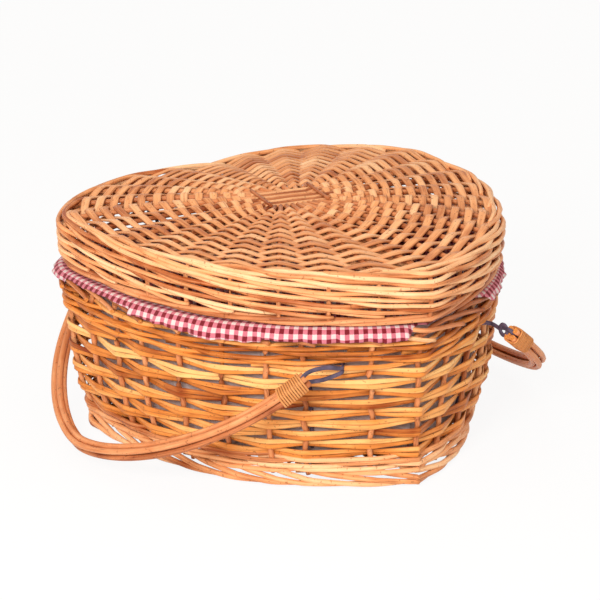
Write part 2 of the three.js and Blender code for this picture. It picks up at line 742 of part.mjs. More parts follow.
function handle(name, mirror, frontLace) {
  const frame = bailFrame(mirror);
  const curve = bailCurve(frame.reach);
  bailRods(name, frame, curve);
  binding(`${name}_binding_front`, frame, curve, false);
  binding(`${name}_binding_rear`, frame, curve, true);
  lace(`${name}_lace_front`, frame, frontLace, mirror, false, frontLace > FRONT_STAKE);
  lace(`${name}_lace_rear`, frame, REAR_LACE, mirror, true, false);
}

sides();
base();
add("lining_bag", liningBag(), GINGHAM, 0.9);
add("lining_ruffle", ruffle(), GINGHAM, 0.9);
hingePlaces.forEach((place, k) => {
  add(k ? "hinge_loop_left" : "hinge_loop_right", hingeLoop(place, 0), LEATHER, 0.75);
});
lid();
handle("handle_left", -1, LEFT_LACE);
handle("handle_right", 1, RIGHT_LACE);

// The origin goes to the floor in the middle of the whole part's box
const middle = new THREE.Box3().setFromObject(group).getCenter(new THREE.Vector3());
group.children.forEach((mesh) => mesh.geometry.translate(-middle.x, -middle.y, 0));

// Places that the record of the part needs
function show(name, point) {
  const moved = point.clone().sub(new THREE.Vector3(middle.x, middle.y, 0));
  console.log(`${name} ${moved.toArray().map((c) => c.toFixed(3)).join(" ")}`);
}
show("lid hinge", onLid(between(HINGE_STAKE), LID_BORDER_OUT, lidBorderZ));
[-1, 1].forEach((mirror) => {
  const { front, rear, axis } = bailFrame(mirror);
  show(mirror < 0 ? "left front pin" : "right front pin", front);
  show(mirror < 0 ? "left rear pin" : "right rear pin", rear);
  console.log(`axis ${axis.toArray().map((c) => c.toFixed(6)).join(" ")}`);
});
show("foot between stakes 3 and 4", onWall(between(3.5), 0, 0));
console.log(`rim top ${rimTop.toFixed(2)}, lid edge ${topEdge.toFixed(2)}, laces ${laceZ.toFixed(2)}`);

export default group;
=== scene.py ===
# %% [markdown]
# # A heart-shaped willow picnic basket
#
# A basket is woven around upright stakes. Rods and split strips go in front of some stakes and behind
# others, row on row, and the stakes' own ends are turned down into the borders. This lesson lays each rod
# and strip along its real path, and leaves the light to find the gaps. The solid model gives the frame:
# where the basket stands, and where the lid and the handles turn.

import json
import math

import bmesh
import bpy
import numpy as np
from mathutils import Matrix, Vector


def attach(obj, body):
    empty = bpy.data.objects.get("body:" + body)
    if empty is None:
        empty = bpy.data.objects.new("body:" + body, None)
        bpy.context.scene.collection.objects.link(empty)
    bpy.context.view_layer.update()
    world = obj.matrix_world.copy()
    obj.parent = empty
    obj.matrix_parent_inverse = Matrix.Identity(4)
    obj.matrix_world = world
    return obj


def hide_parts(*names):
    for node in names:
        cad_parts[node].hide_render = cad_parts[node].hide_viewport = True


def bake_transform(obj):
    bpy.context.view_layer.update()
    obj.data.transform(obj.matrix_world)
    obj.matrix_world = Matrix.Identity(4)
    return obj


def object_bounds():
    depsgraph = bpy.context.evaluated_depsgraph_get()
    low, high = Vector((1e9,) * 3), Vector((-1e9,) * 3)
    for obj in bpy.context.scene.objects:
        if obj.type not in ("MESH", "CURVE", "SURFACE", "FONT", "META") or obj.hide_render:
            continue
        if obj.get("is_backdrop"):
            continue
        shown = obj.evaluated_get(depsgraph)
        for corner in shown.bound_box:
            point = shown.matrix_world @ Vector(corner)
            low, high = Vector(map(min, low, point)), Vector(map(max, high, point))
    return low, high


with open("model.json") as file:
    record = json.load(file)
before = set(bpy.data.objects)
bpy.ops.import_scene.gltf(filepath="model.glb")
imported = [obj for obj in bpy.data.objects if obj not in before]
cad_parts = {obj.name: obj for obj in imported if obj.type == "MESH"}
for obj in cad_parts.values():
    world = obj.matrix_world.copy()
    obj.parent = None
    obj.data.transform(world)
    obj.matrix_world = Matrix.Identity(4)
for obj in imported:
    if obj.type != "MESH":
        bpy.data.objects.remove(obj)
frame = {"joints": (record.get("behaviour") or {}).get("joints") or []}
cad_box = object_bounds()
joints = {joint["name"]: joint for joint in frame["joints"]}
print("box of the solid model:", cad_box)

# %% [markdown]
# ## The heart and its stakes
#
# Half of the heart is three curves: from the tip out to the widest point, over the lobe, and down into
# the notch. The other half is its mirror. It could be traced point by point, but a few lengths, here in
# millimetres, are easier to measure and change. Places round the heart are counted in stakes: 0 is the
# tip, 14 the notch, and 2.5 is halfway from stake 2 to stake 3.

# %% Outline of the heart
MM = 0.001
STAKES = 28
HEART_WIDTH = 384
HEART_LENGTH = 382
NOTCH_DEPTH = 10
CREST_X = 69
WIDEST_Y = 106
LOBE_FULLNESS = 0.42
TIP_HALF_ANGLE = math.radians(69)
TIP_ARM = 157
SIDE_ARM = 140
CURVE_POINTS = 200


def bend(start, leave, arrive, end):
    """A curve between two points, with an arm at each."""
    share = np.linspace(0, 1, CURVE_POINTS)[:, None]
    rest = 1 - share
    return (
        rest**3 * np.array(start)
        + 3 * rest**2 * share * np.array(leave)
        + 3 * rest * share**2 * np.array(arrive)
        + share**3 * np.array(end)
    )


def outline():
    half_width = HEART_WIDTH / 2
    back = HEART_LENGTH / 2
    front = -back
    tip_arm = (TIP_ARM * math.sin(TIP_HALF_ANGLE), front + TIP_ARM * math.cos(TIP_HALF_ANGLE))
    lobe_y = WIDEST_Y + LOBE_FULLNESS * (back - WIDEST_Y)
    lobe_x = CREST_X + LOBE_FULLNESS * (half_width - CREST_X)
    notch = back - NOTCH_DEPTH
    notch_arm = (CREST_X / 4, notch + 0.6 * NOTCH_DEPTH)
    side = bend((0, front), tip_arm, (half_width, WIDEST_Y - SIDE_ARM), (half_width, WIDEST_Y))
    lobe = bend((half_width, WIDEST_Y), (half_width, lobe_y), (lobe_x, back), (CREST_X, back))
    dip = bend((CREST_X, back), (CREST_X / 2, back), notch_arm, (0, notch))
    right = np.vstack([side, lobe[1:], dip[1:]])
    left = right[::-1][1:] * (-1, 1)
    return np.vstack([right, left])


def run_of(points):
    """The length along a line of points, from its first."""
    steps = np.linalg.norm(np.diff(points, axis=0), axis=1)
    return np.concatenate([[0], np.cumsum(steps)])


edge = outline()
edge_run = run_of(edge)
ROUND = edge_run[-1]
PITCH = ROUND / STAKES
print(f"once round the heart: {ROUND:.0f} mm, a stake every {PITCH:.1f} mm")

# %% Places round the heart
HINGE_BEHIND_MIDDLE = 195.763
MIDDLE_Y = joints["lid_hinge"]["pos_m"][1] / MM - HINGE_BEHIND_MIDDLE
NEARBY = 6
FULL_LOBE = 6
FULL_LOBE_PLACE = 6.8
FULL_LOBE_SPREAD = 1.3


def between(at, stops, values, period=None):
    """Points at any place on a line of points that are given at stops."""
    return np.column_stack([np.interp(at, stops, part, period=period) for part in values.T])


def along_edge(run):
    return between(run, edge_run, edge, ROUND)


def unit(ways):
    return ways / np.linalg.norm(ways, axis=-1, keepdims=True)


def heart(place):
    """Points on the stakes' line, and the directions straight out from it."""
    run = np.asarray(place, float) * PITCH
    way = unit(along_edge(run + NEARBY) - along_edge(run - NEARBY))
    return along_edge(run) + (0, MIDDLE_Y), np.column_stack([way[:, 1], -way[:, 0]])


def upright(place, out, z):
    """Points of the lid's wall, out millimetres from the stakes' line, fuller on the right lobe."""
    spot, away = heart(place)
    beside_lobe = (np.asarray(place) % STAKES - FULL_LOBE_PLACE) / FULL_LOBE_SPREAD
    out = out + FULL_LOBE * np.exp(-(beside_lobe**2))
    out, z = np.broadcast_to(out, len(spot)), np.broadcast_to(z, len(spot))
    return np.column_stack([spot + away * out[:, None], z])


print("tip of the heart, in mm:", upright(np.zeros(1), 0, 0)[0].round(1))

# %% [markdown]
# ## The wall
#
# The wall leans out from a small foot to the rim, and between them the lobes swell, where the strips pushed
# the stakes apart. A lattice could bend a finished wall, but would flatten its rods. So the swell is in the
# rule that every strand follows, from a few heights measured on the photograph.

# %% The leaning wall
RIM_TOP = 159.8
FOOT_INSET = 19.5
FOOT_FORWARD = 5
BELLY_Z = [0, 15, 30, 50, 75, 115, 140, 160]
BELLY_RIGHT = [-10, -6, 2, 9, 11, 9, 5, 3]
BELLY_LEFT = [3, 3, 6, 11, 12, 10, 8, 6]
BELLY_FROM_TIP = [1.2, 4.5, 9.5, 11.8]
BELLY_SHARE = [0, 1, 1, 0]
SHIFTED_STAKES = {0: 6, 21: 4, 22: 12, 23: 12, 24: 11, 25: 14, 26: 24, 27: 6, 28: 6}


def from_tip(place):
    """Stakes from the tip, more than 0 on the right and less on the left."""
    return (np.asarray(place) + STAKES / 2) % STAKES - STAKES / 2


def belly(place, z):
    away = from_tip(place)
    swell = np.where(away > 0, np.interp(z, BELLY_Z, BELLY_RIGHT), np.interp(z, BELLY_Z, BELLY_LEFT))
    return swell * np.interp(np.abs(away), BELLY_FROM_TIP, BELLY_SHARE)


def leaning(place, out, z):
    """Points of the basket's wall. Its foot stands a little forward of the rim."""
    low = np.broadcast_to(1 - np.asarray(z) / RIM_TOP, len(place))
    points = upright(place, out - FOOT_INSET * low + belly(place, z), z)
    points[:, 1] -= FOOT_FORWARD * low
    return points


def woven(place, out, z):
    """Points of the wall, with the stakes of the front left as uneven as in the photograph."""
    shift = [SHIFTED_STAKES.get(stake, 0) / PITCH for stake in range(STAKES + 1)]
    place = np.asarray(place, float)
    return leaning(place - np.interp(place, range(STAKES + 1), shift, period=STAKES), out, z)


rim_line = woven(range(STAKES), 0, RIM_TOP)
print(f"rim: {np.ptp(rim_line[:, 0]):.0f} mm wide, {np.ptp(rim_line[:, 1]):.0f} mm long")

# %% [markdown]
# ## Nodes as sums
#
# A finish is a tree of nodes, and its sums are hard to read as links. `Wire` lets sockets be reckoned with
# like numbers. `Nodes` makes every node in one method: first its settings, such as a ramp's stops, and then
# the values or links of its sockets.


# %% Sockets as numbers
def sum_of(operation, turned=False):
    """A method that adds one Math node. turned swaps the two values, so that 1 - mask works."""

    def method(self, *others):
        values = (*others, self) if turned else (self, *others)
        return self.nodes.node("Math", dict(enumerate(values)), operation=operation)

    return method


class Wire:
    def __init__(self, nodes, socket):
        self.nodes = nodes
        self.socket = socket

    __add__ = sum_of("ADD")
    __radd__ = sum_of("ADD", turned=True)
    __sub__ = sum_of("SUBTRACT")
    __rsub__ = sum_of("SUBTRACT", turned=True)
    __mul__ = sum_of("MULTIPLY")
    __rmul__ = sum_of("MULTIPLY", turned=True)
    __truediv__ = sum_of("DIVIDE")
    __rtruediv__ = sum_of("DIVIDE", turned=True)
    __gt__ = sum_of("GREATER_THAN")
    __lt__ = sum_of("LESS_THAN")
    part = sum_of("FRACT")
    wave = sum_of("SINE")
    most = sum_of("MAXIMUM")


# %% Nodes and finishes
class Nodes:
    """The node tree of a material or of the world."""

    def __init__(self, owner):
        owner.use_nodes = True
        self.tree = owner.node_tree

    def plug(self, socket, value):
        if isinstance(value, Wire):
            self.tree.links.new(value.socket, socket)
        else:
            socket.default_value = value

    def node(self, kind, sockets, out=0, stops=(), **settings):
        made = self.tree.nodes.new("ShaderNode" + kind)
        for setting, value in settings.items():
            setattr(made, setting, value)
        while stops and len(made.color_ramp.elements) < len(stops):
            made.color_ramp.elements.new(1)
        for number, (position, colour) in enumerate(stops):
            made.color_ramp.elements[number].position = position
            made.color_ramp.elements[number].color = colour
        for socket, value in sockets.items():
            self.plug(made.inputs[socket], value)
        return Wire(self, made.outputs[out])


class Finish(Nodes):
    """A material, whose Principled shader is fed by name."""

    def __init__(self, name, slot="", **sockets):
        self.material = bpy.data.materials.new(name)
        self.slot = slot or name.replace(" ", "_")
        super().__init__(self.material)
        self.shader = self.tree.nodes["Principled BSDF"]
        for socket, value in sockets.items():
            self.feed(socket.replace("_", " "), value)
        print("finish:", name)

    def feed(self, socket, value):
        self.plug(self.shader.inputs[socket], value)

    def here(self):
        return self.node("TexCoord", {}, "Object")

    def value(self, name):
        return self.node("Attribute", {}, "Fac", attribute_name=name)

    def mix(self, factor, first, second):
        return self.node("Mix", {0: factor, 6: first, 7: second}, 2, data_type="RGBA")

    def blend(self, factor, stops):
        return self.node("ValToRGB", {0: factor}, stops=stops)

    def speckle(self, at, scale, detail=2.0):
        return self.node("TexNoise", {"Vector": at, "Scale": scale, "Detail": detail}, "Fac")

    def bump(self, height, distance, strength=1.0):
        sockets = {"Height": height, "Distance": distance, "Strength": strength}
        self.feed("Normal", self.node("Bump", sockets))


def paint(red, green, blue):
    """A colour as a picture gives it, from 0 to 255, made linear."""
    parts = [value / 255 for value in (red, green, blue)]
    return [x / 12.92 if x <= 0.04045 else ((x + 0.055) / 1.055) ** 2.4 for x in parts] + [1]


# %% [markdown]
# ## Willow and cane
#
# Each rod has its own tone, streaks run along it, and skin and knots leave darker flecks. A picture of
# willow would repeat from rod to rod. So the shader mixes its colours from four values that every strand
# carries: its tone, the length along it, the place around it and, on a strip, how near the edge is. Near
# its edges a strip is painted darker, partly as a line of skin and partly as painted shade where strips
# meet.


# %% Willow, cane and cut ends
def willow(name, *colours, roughness=0.48, slot=""):
    finish = Finish(name, slot, Coat_Weight=0.05, Coat_Roughness=0.3, Specular_IOR_Level=0.2)
    deep, warm, pale, skin_and_edge_shade = (paint(*colour) for colour in colours)
    tone, along, around, rim = (finish.value(word) for word in ("tone", "along", "around", "rim"))
    here = finish.here()
    stretched = finish.node("CombineXYZ", {"X": along * 22, "Y": around * 5, "Z": tone * 57})
    grain = finish.node("CombineXYZ", {"X": along * 90, "Y": around * 22, "Z": tone * 31})
    streak = finish.speckle(stretched, 1, 3)
    fibre = finish.speckle(grain, 1)
    mottle = finish.speckle(here, 38)
    share = tone * 0.75 + (streak - 0.5) * 0.55 + (mottle - 0.5) * 0.5 + (fibre - 0.5) * 0.2 + 0.12
    colour = finish.blend(share, [(0.08, deep), (0.48, warm), (0.92, pale)])
    fleck = finish.speckle(here, 330, 1) > 0.69
    skinned = finish.speckle(stretched, 2.3, 3) > 0.63
    # Painted shade: a strip darkens towards its edges, where it meets the next strip. This is partly also
    # the real line of skin that a split keeps.
    edge_shade_and_skin = (rim - 0.7).most(0)
    colour = finish.mix(skinned * 0.35, colour, skin_and_edge_shade)
    colour = finish.mix(edge_shade_and_skin, colour, skin_and_edge_shade)
    finish.feed("Base Color", finish.mix(fleck * 0.45, colour, skin_and_edge_shade))
    finish.feed("Roughness", roughness + (fibre - 0.5) * 0.3 + (mottle - 0.5) * 0.2)
    finish.bump(fibre * 0.6 + streak * 0.4, 0.0006, 0.5)
    return finish


golden = willow("golden willow", (134, 48, 0), (232, 144, 66), (255, 200, 128), (98, 32, 0))
peeled = willow("peeled willow", (160, 72, 20), (240, 168, 112), (255, 210, 162), (112, 44, 12))
buff = willow("buff willow", (130, 54, 18), (216, 138, 88), (246, 190, 138), (92, 34, 10))
cane_colours = [(150, 80, 34), (218, 146, 84), (242, 190, 132), (92, 44, 16)]
cane = willow("binding cane", *cane_colours, roughness=0.35, slot="cane")

cut_end = Finish("cut willow end", Roughness=0.75)
pith = cut_end.speckle(cut_end.here(), 900)
cut_end.feed("Base Color", cut_end.blend(pith, [(0.3, paint(176, 84, 24)), (0.7, paint(246, 170, 84))]))
cut_end.bump(pith, 0.0004)

# %% [markdown]
# ## Leather
#
# The laces and the hinge loops are thongs of dark hide. Fine pores roughen it and larger patches are worn
# paler. Two noises of different scale make both, and need no picture.

# %% Leather
leather = Finish("dark leather", "leather", Coat_Weight=0.05)
hide_at = leather.here()
pores = leather.speckle(hide_at, 700, 3)
patch = leather.speckle(hide_at, 90)
leather.feed("Base Color", leather.blend(patch, [(0.3, paint(50, 42, 62)), (0.7, paint(108, 94, 120))]))
leather.feed("Roughness", 0.5 + pores * 0.3)
leather.bump(pores, 0.0005)

# %% [markdown]
# ## Gingham
#
# Gingham has red stripes in the weft and in the warp. Where two cross, the cloth is full red, under one
# half red, and elsewhere white. A picture of checks would do, but the shader can work as the loom does: find
# both stripes and mix the colour from them. It reads the cloth's own measure, in metres.

# %% Gingham
CHECK = 0.0084
THREADS = 9000


def cotton(name):
    finish = Finish(name, Roughness=0.9, Sheen_Weight=0.08)
    at = finish.node("UVMap", {}, uv_map="cloth")
    across, up = (finish.node("SeparateXYZ", {0: at}, axis) for axis in "XY")
    threads = (across * THREADS).wave() * 0.5 + (up * THREADS).wave() * 0.5
    finish.bump(threads + finish.speckle(at, 260), 0.0004, 0.6)
    return finish, at, across, up


gingham, cloth_at, weft, warp = cotton("gingham")
fray = (gingham.speckle(cloth_at, 1500, 1) - 0.5) * 0.1
weft_dyed = ((weft / CHECK).part() + fray) < 0.5
warp_dyed = ((warp / CHECK).part() + fray) < 0.5
wear = gingham.speckle(cloth_at, 120)
ground = gingham.mix(wear, paint(226, 204, 204), paint(244, 228, 226))
half_dyed = gingham.mix(wear, paint(204, 100, 120), paint(228, 138, 154))
full_dyed = gingham.mix(wear, paint(112, 2, 22), paint(140, 8, 36))
checked = gingham.mix(weft_dyed.most(warp_dyed), ground, half_dyed)
gingham.feed("Base Color", gingham.mix(weft_dyed * warp_dyed, checked, full_dyed))

cloth_back, back_at, _, _ = cotton("back of the lining")
faded = cloth_back.speckle(back_at, 160)
cloth_back.feed("Base Color", cloth_back.mix(faded, paint(196, 178, 178), paint(226, 208, 206)))

# %% [markdown]
# ## Laying rods and strips
#
# A wall could be one surface with a picture of weaving, but no light would come through. So each piece is
# laid strand by strand. A strand is a row of points, a thickness along it and a tone, and becomes a spline
# of a curve. The curve's bevel gives it a round or flat section, and its upright twist keeps a strip flat
# against the wall. Open ends are filled, as cut willow is.


# %% Sections and curves
def shown(name, data):
    made = bpy.data.objects.new(name, data)
    bpy.context.scene.collection.objects.link(made)
    return made


def new_spline(curve, points, closed):
    spline = curve.splines.new("POLY")
    spline.points.add(len(points) - 1)
    spline.points.foreach_set("co", np.column_stack([points * MM, np.ones(len(points))]).ravel())
    spline.use_cyclic_u = closed
    return spline


def drawn_out(value, power):
    """A cosine or sine that turns a circle into a rounded square."""
    return np.sign(value) * np.abs(value) ** power


def section(name, width, thickness, sides=10, squareness=2.6):
    """A flat strip's section: a rounded outline, width up and thickness across."""
    curve = bpy.data.curves.new(name, "CURVE")
    curve.dimensions = "2D"
    turn = 2 * math.pi * (np.arange(sides) + 0.5) / sides
    x = drawn_out(np.cos(turn), 2 / squareness) * thickness / 2
    y = drawn_out(np.sin(turn), 2 / squareness) * width / 2
    new_spline(curve, np.column_stack([x, y, np.zeros(sides)]), True)
    return shown(name, curve)


def swept(name, strands, shape, closed):
    """The mesh of one curve, with a spline for every strand."""
    curve = bpy.data.curves.new(name, "CURVE")
    curve.dimensions = "3D"
    curve.twist_mode = "Z_UP"
    if isinstance(shape, bpy.types.Object):
        curve.bevel_mode = "OBJECT"
        curve.bevel_object = shape
    else:
        curve.bevel_depth = shape * MM
        curve.bevel_resolution = 2
    for points, thickness, _ in strands:
        spline = new_spline(curve, points, closed)
        spline.points.foreach_set("radius", np.broadcast_to(thickness, len(points)).astype(float))
    holder = shown(name, curve)
    graph = bpy.context.evaluated_depsgraph_get()
    mesh = bpy.data.meshes.new_from_object(holder.evaluated_get(graph))
    bpy.data.objects.remove(holder)
    bpy.data.curves.remove(curve)
    return mesh


# %% One piece from many strands
def carry(mesh, strands, is_strip):
    """Gives every vertex the four values that the willow finishes read; the last places the painted edge
    shade.
    """
    count = sum(len(points) for points, _, _ in strands)
    sides = len(mesh.vertices) // count
    tones = np.concatenate([np.full(len(points), tone) for points, _, tone in strands])
    runs = np.concatenate([run_of(points) for points, _, _ in strands]) * MM
    turns = np.tile(np.abs(np.linspace(-1, 1, sides, endpoint=False)), count)
    spots = np.empty(len(mesh.vertices) * 3)
    mesh.vertices.foreach_get("co", spots)
    loops = spots.reshape(count, sides, 3)
    reach = np.linalg.norm(loops - loops.mean(axis=1, keepdims=True), axis=2)
    # How near a strip's edge each vertex is: the mask of the painted shade where strips meet, partly a line
    # of skin.
    edge_shade_and_skin_mask = (reach / reach.max(axis=1, keepdims=True)).ravel() * is_strip
    carried = {"tone": tones.repeat(sides), "along": runs.repeat(sides), "around": turns, "rim": edge_shade_and_skin_mask}
    for word, values in carried.items():
        mesh.attributes.new(word, "FLOAT", "POINT").data.foreach_set("value", values)


def fill_ends(mesh):
    """Smooth sides, and flat ends in the second finish."""
    work = bmesh.new()
    work.from_mesh(mesh)
    for face in work.faces:
        face.smooth = True
        face.material_index = 0
    open_edges = [line for line in work.edges if line.is_boundary]
    for face in bmesh.ops.holes_fill(work, edges=open_edges, sides=0)["faces"]:
        face.smooth = False
        face.material_index = 1
    bmesh.ops.recalc_face_normals(work, faces=work.faces)
    work.to_mesh(mesh)
    work.free()


def laid(name, strands, finish, shape, closed=False, ends=None):
    """One piece of willow, cane or leather. shape is a rod's radius in millimetres or a section."""
    mesh = swept(name, strands, shape, closed)
    carry(mesh, strands, isinstance(shape, bpy.types.Object))
    mesh.materials.clear()
    mesh.materials.append(finish.material)
    mesh.materials.append((ends or finish).material)
    fill_ends(mesh)
    return shown(name, mesh)


def belongs(piece, finish, body, *nodes):
    """The piece goes with a body and stands in for nodes of the solid model."""
    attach(piece, body)
    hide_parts(*nodes)
    print(f"{piece.name}: {len(piece.data.polygons)} faces, on the {body}")


def lay(name, strands, finish, shape, body, *nodes, **options):
    belongs(laid(name, strands, finish, shape, **options), finish, body, *nodes)


def numbered(word, count):
    """Names of nodes in the solid model."""
    return [f"{word}_{number + 1}" for number in range(count)]


def at_stakes(strand):
    return [strand(stake) for stake in range(STAKES)]


# %% [markdown]
# ## The weaver's hand
#
# No two willows are alike, and no row is quite level. Hundreds of tones and slow drifts could be set by
# hand, but a fixed seed draws them, the same every time. Rows are longer than a willow, so they are pieced,
# and the joins are hidden behind stakes.

# %% Tones, drifts and joins
chance = np.random.default_rng(28)


def tint(middle=0.5, spread=0.2):
    return float(np.clip(chance.normal(middle, spread), 0, 1))


def wander(place, finest=16):
    """A slow uneven drift round the heart, about -1 to 1, that closes on itself."""
    drift = np.zeros(len(place))
    for turns in range(2, finest):
        drift += np.cos(2 * math.pi * turns * np.asarray(place) / STAKES + chance.uniform(0, 6.28))
    return drift / math.sqrt(finest - 2)


def passes(shift, every=2):
    """The sides of a row: -1 behind one stake in every few, 1 in front of the others."""

    def side(stake):
        return np.where((stake + shift) % every == 0, -1.0, 1.0)

    return side


def swing(place, side, sharp=0.35):
    """The way from one stake's side to the next one's. A rod bends, a sharp strip kinks."""
    before = np.floor(place).astype(int)
    share = place - before
    share = sharp * share + (1 - sharp) * share * share * (3 - 2 * share)
    return side(before) * (1 - share) + side(before + 1) * share


def joins(side, count):
    """Pairs of stakes, from one hidden join of a row to the next."""
    hidden = [stake for stake in range(STAKES) if side(np.array([stake]))[0] < 0]
    stops = sorted(int(stop) for stop in chance.choice(hidden, count, replace=False))
    return list(zip(stops, stops[1:] + [stops[0] + STAKES]))


def tucked(place, reach=0.55):
    """1 at both ends of a strand, falling to 0 within reach of a stake."""
    near = np.minimum(place - place[0], place[-1] - place)
    return np.clip(1 - near / reach, 0, 1) ** 2


def pieced(side, count, past, step, sharp=0.35):
    """The lengths of a row, each a little past its joins: places, how far in front, how near the ends."""
    for first, last in joins(side, count):
        place = np.arange(first - past, last + past + 0.01, step)
        yield place, swing(place, side, sharp), tucked(place)


print("a rod from stake to stake:", swing(np.linspace(0, 1, 6), passes(0)).round(2))

# %% [markdown]
# ## Stakes and foot
#
# The stakes stand through the whole wall. Below the lowest wale each one is bent over to the right, runs
# down to the floor and along past three more, and so makes the open foot that the basket stands on. Stake
# and foot are one willow, but the foot is laid as a piece of its own, because it is paler.

# %% Stakes
STAKE_RADIUS = 2.6
STAKE_POINTS = 26


def stake_strand(stake):
    z = np.linspace(12, RIM_TOP - 10, STAKE_POINTS)
    place = stake + 0.03 * wander(z / 6, 8)
    return woven(place, 0.3 * wander(z / 8, 6), z), 1 + 0.05 * wander(z / 9, 5), tint(0.5, 0.15)


lay("stakes", at_stakes(stake_strand), buff, STAKE_RADIUS, "basket", "stake_frame")

# %% Foot border
FOOT_RADIUS = 2.7
FOOT_LAP = 3.1


def foot_strand(stake):
    share = np.linspace(0, 1, STAKE_POINTS)
    place = stake + FOOT_LAP * share
    z = np.interp(share, [0, 0.1, 0.36, 0.62, 1], [16, 13, 7.2, 3.6, 3.0])
    out = np.interp(share, [0, 0.1, 0.36, 0.7, 1], [0, 2, 5.4, 5.2, 0.5])
    return woven(place, out, z + 0.3 * wander(place)), 1.04 - 0.2 * share, tint(0.5, 0.22)


foot = at_stakes(foot_strand)
lay("foot_border", foot, peeled, FOOT_RADIUS, "basket", "stake_frame", ends=cut_end)

# %% [markdown]
# ## Foot wale
#
# A wale is a band of round rods that grips the stakes. Each goes in front of two and behind one, a stake
# further on in every row. A twisted rope would look alike, but its rods wouldn't go behind the stakes.

# %% Foot wale
FOOT_WALE_Z = 15.0
FOOT_WALE_PITCH = 3.3
FOOT_WALE_ROWS = 5
FOOT_WALE_RADIUS = 2.25
ROW_LENGTHS = 5


def waled(row, z, reach, slope):
    """One row of round rods, thick at the butt and thin at the tip, each a little askew."""

    # Three doesn't divide 28 stakes, so the count starts anew at the notch.
    def side(stake):
        return np.where(((stake + STAKES // 2) % STAKES + row) % 3 == 0, -1.0, 1.0)

    strands = []
    for place, over, end in pieced(side, ROW_LENGTHS, 0.35, 0.125):
        share = np.linspace(-1, 1, len(place))
        height = z + slope * share + 0.45 * wander(place, 22)
        points = woven(place, reach * over - 1.2 * end, height)
        strands.append((points, 1.06 - 0.16 * share, tint(0.5, 0.22)))
    return strands


wale = [waled(row, FOOT_WALE_Z + FOOT_WALE_PITCH * row, 3.8, 1.2) for row in range(FOOT_WALE_ROWS)]
lay("foot_wale", sum(wale, []), peeled, FOOT_WALE_RADIUS, "basket", *numbered("foot_wale", 3))

# %% [markdown]
# ## The woven side
#
# This is where most of the maker's skill shows. Nine rows of split willow go in front of one stake and
# behind the next, and every row is a pair of strips that spread over a stake and close up behind it. A
# bump map could fake it from afar, but the gaps that show the lining would be missing. Small differences
# of tone, height and width keep it from looking like a printed pattern.

# %% Side strips
SIDE_ROWS = 9
SIDE_BOTTOM = 28.2
ROW_PITCH = 10.05
STRIP_REACH = 3.8
PAIR_APART = 2.05


def side_row(row):
    strands = []
    for level in (-1, 1):
        for place, over, end in pieced(passes(row + 1), ROW_LENGTHS, 0.3, 0.1, 0.75):
            spread = np.clip(over, 0, 1)
            hidden = np.clip(-over, 0, 1)
            height = SIDE_BOTTOM + (row + 0.5) * ROW_PITCH
            height = height + level * (PAIR_APART + 0.5 * spread - 0.4 * hidden) + 0.5 * wander(place, 26)
            points = woven(place, STRIP_REACH * over + 0.25 * level - 1.5 * end, height)
            width = 0.9 + 0.22 * spread - 0.1 * hidden - 0.2 * end
            strands.append((points, width, tint(0.5, 0.24)))
    return strands


split_strip = section("split strip", 4.6, 1.8, 12, 3.2)
strips = sum((side_row(row) for row in range(SIDE_ROWS)), [])
lay("woven_side", strips, golden, split_strip, "basket", *numbered("side_row", SIDE_ROWS))

# %% [markdown]
# ## Upper wale and rim
#
# Six more rows of rods close the weaving, made as the foot wale is. Above them the stakes are bent over in
# turn. Each slants across the next two and is cut off outside the wall, so the rim shows crossing rods.

# %% Upper wale and rim
UPPER_WALE_Z = 121.4
UPPER_WALE_PITCH = 4.1
UPPER_WALE_ROWS = 6
UPPER_WALE_RADIUS = 2.15
RIM_RADIUS = 2.5
RIM_LAP = 2.2
RIM_POINTS = 24


def rim_strand(stake):
    share = np.linspace(0, 1, RIM_POINTS)
    place = stake + RIM_LAP * share
    z = np.interp(share, [0, 0.15, 0.3, 0.65, 1], [148, 155.5, 157.3, 152, 145])
    out = np.interp(share, [0, 0.15, 0.35, 0.8, 0.93, 1], [0, 1.8, 4.6, 6.2, 7.2, 9.6])
    return woven(place, out, z + 0.4 * wander(place)), 1.02 - 0.2 * share, tint(0.5, 0.2)


wale = [waled(row + 1, UPPER_WALE_Z + UPPER_WALE_PITCH * row, 4.4, 1.4) for row in range(UPPER_WALE_ROWS)]
lay("upper_wale", sum(wale, []), golden, UPPER_WALE_RADIUS, "basket", *numbered("rim_wale", 4))
rim = at_stakes(rim_strand)
lay("rim_border", rim, buff, RIM_RADIUS, "basket", "stake_frame", ends=cut_end)

# %% [markdown]
# ## Slath and spokes
#
# Lid and base start from a slath, a small mat of sticks, a little turned and behind the middle. Spokes fan
# out from its four sides to the stakes, and rings of split willow go over one and under the next. Rings
# could be scaled hearts, but real ones take their shape from the spokes: a rectangle near the slath, and
# the heart at the edge.

# %% Slath
SLATH_LENGTH = 54
SLATH_WIDTH = 44
SLATH_BACK = 38
SLATH_TURN = math.radians(-10)
SLATH_STICKS = 7
STICK_POINTS = 9
STICK_PAST = 5
BINDER_PAST = 4


def on_slath(x, y, z=0.0):
    """Points of the slath, which is turned and lies behind the middle."""
    x, y = np.broadcast_arrays(x, y)
    across = x * math.cos(SLATH_TURN) - y * math.sin(SLATH_TURN)
    back = x * math.sin(SLATH_TURN) + y * math.cos(SLATH_TURN)
    return np.column_stack([across, back + SLATH_BACK + MIDDLE_Y, np.full(len(x), z)])


def evenly(count, length):
    return ((np.arange(count) + 0.5) / count - 0.5) * length


def slath_sticks(z):
    x = np.linspace(-1, 1, STICK_POINTS) * (SLATH_LENGTH / 2 + STICK_PAST)
    sticks = []
    for number, y in enumerate(evenly(SLATH_STICKS, SLATH_WIDTH)):
        points = on_slath(x, y + 0.4 * np.sin(x / 9 + number), z)
        pale_or_dark = tint(0.8 - 0.6 * (number % 2), 0.06)
        sticks.append((points, 1 + 0.05 * np.cos(x / 7), pale_or_dark))
    return sticks


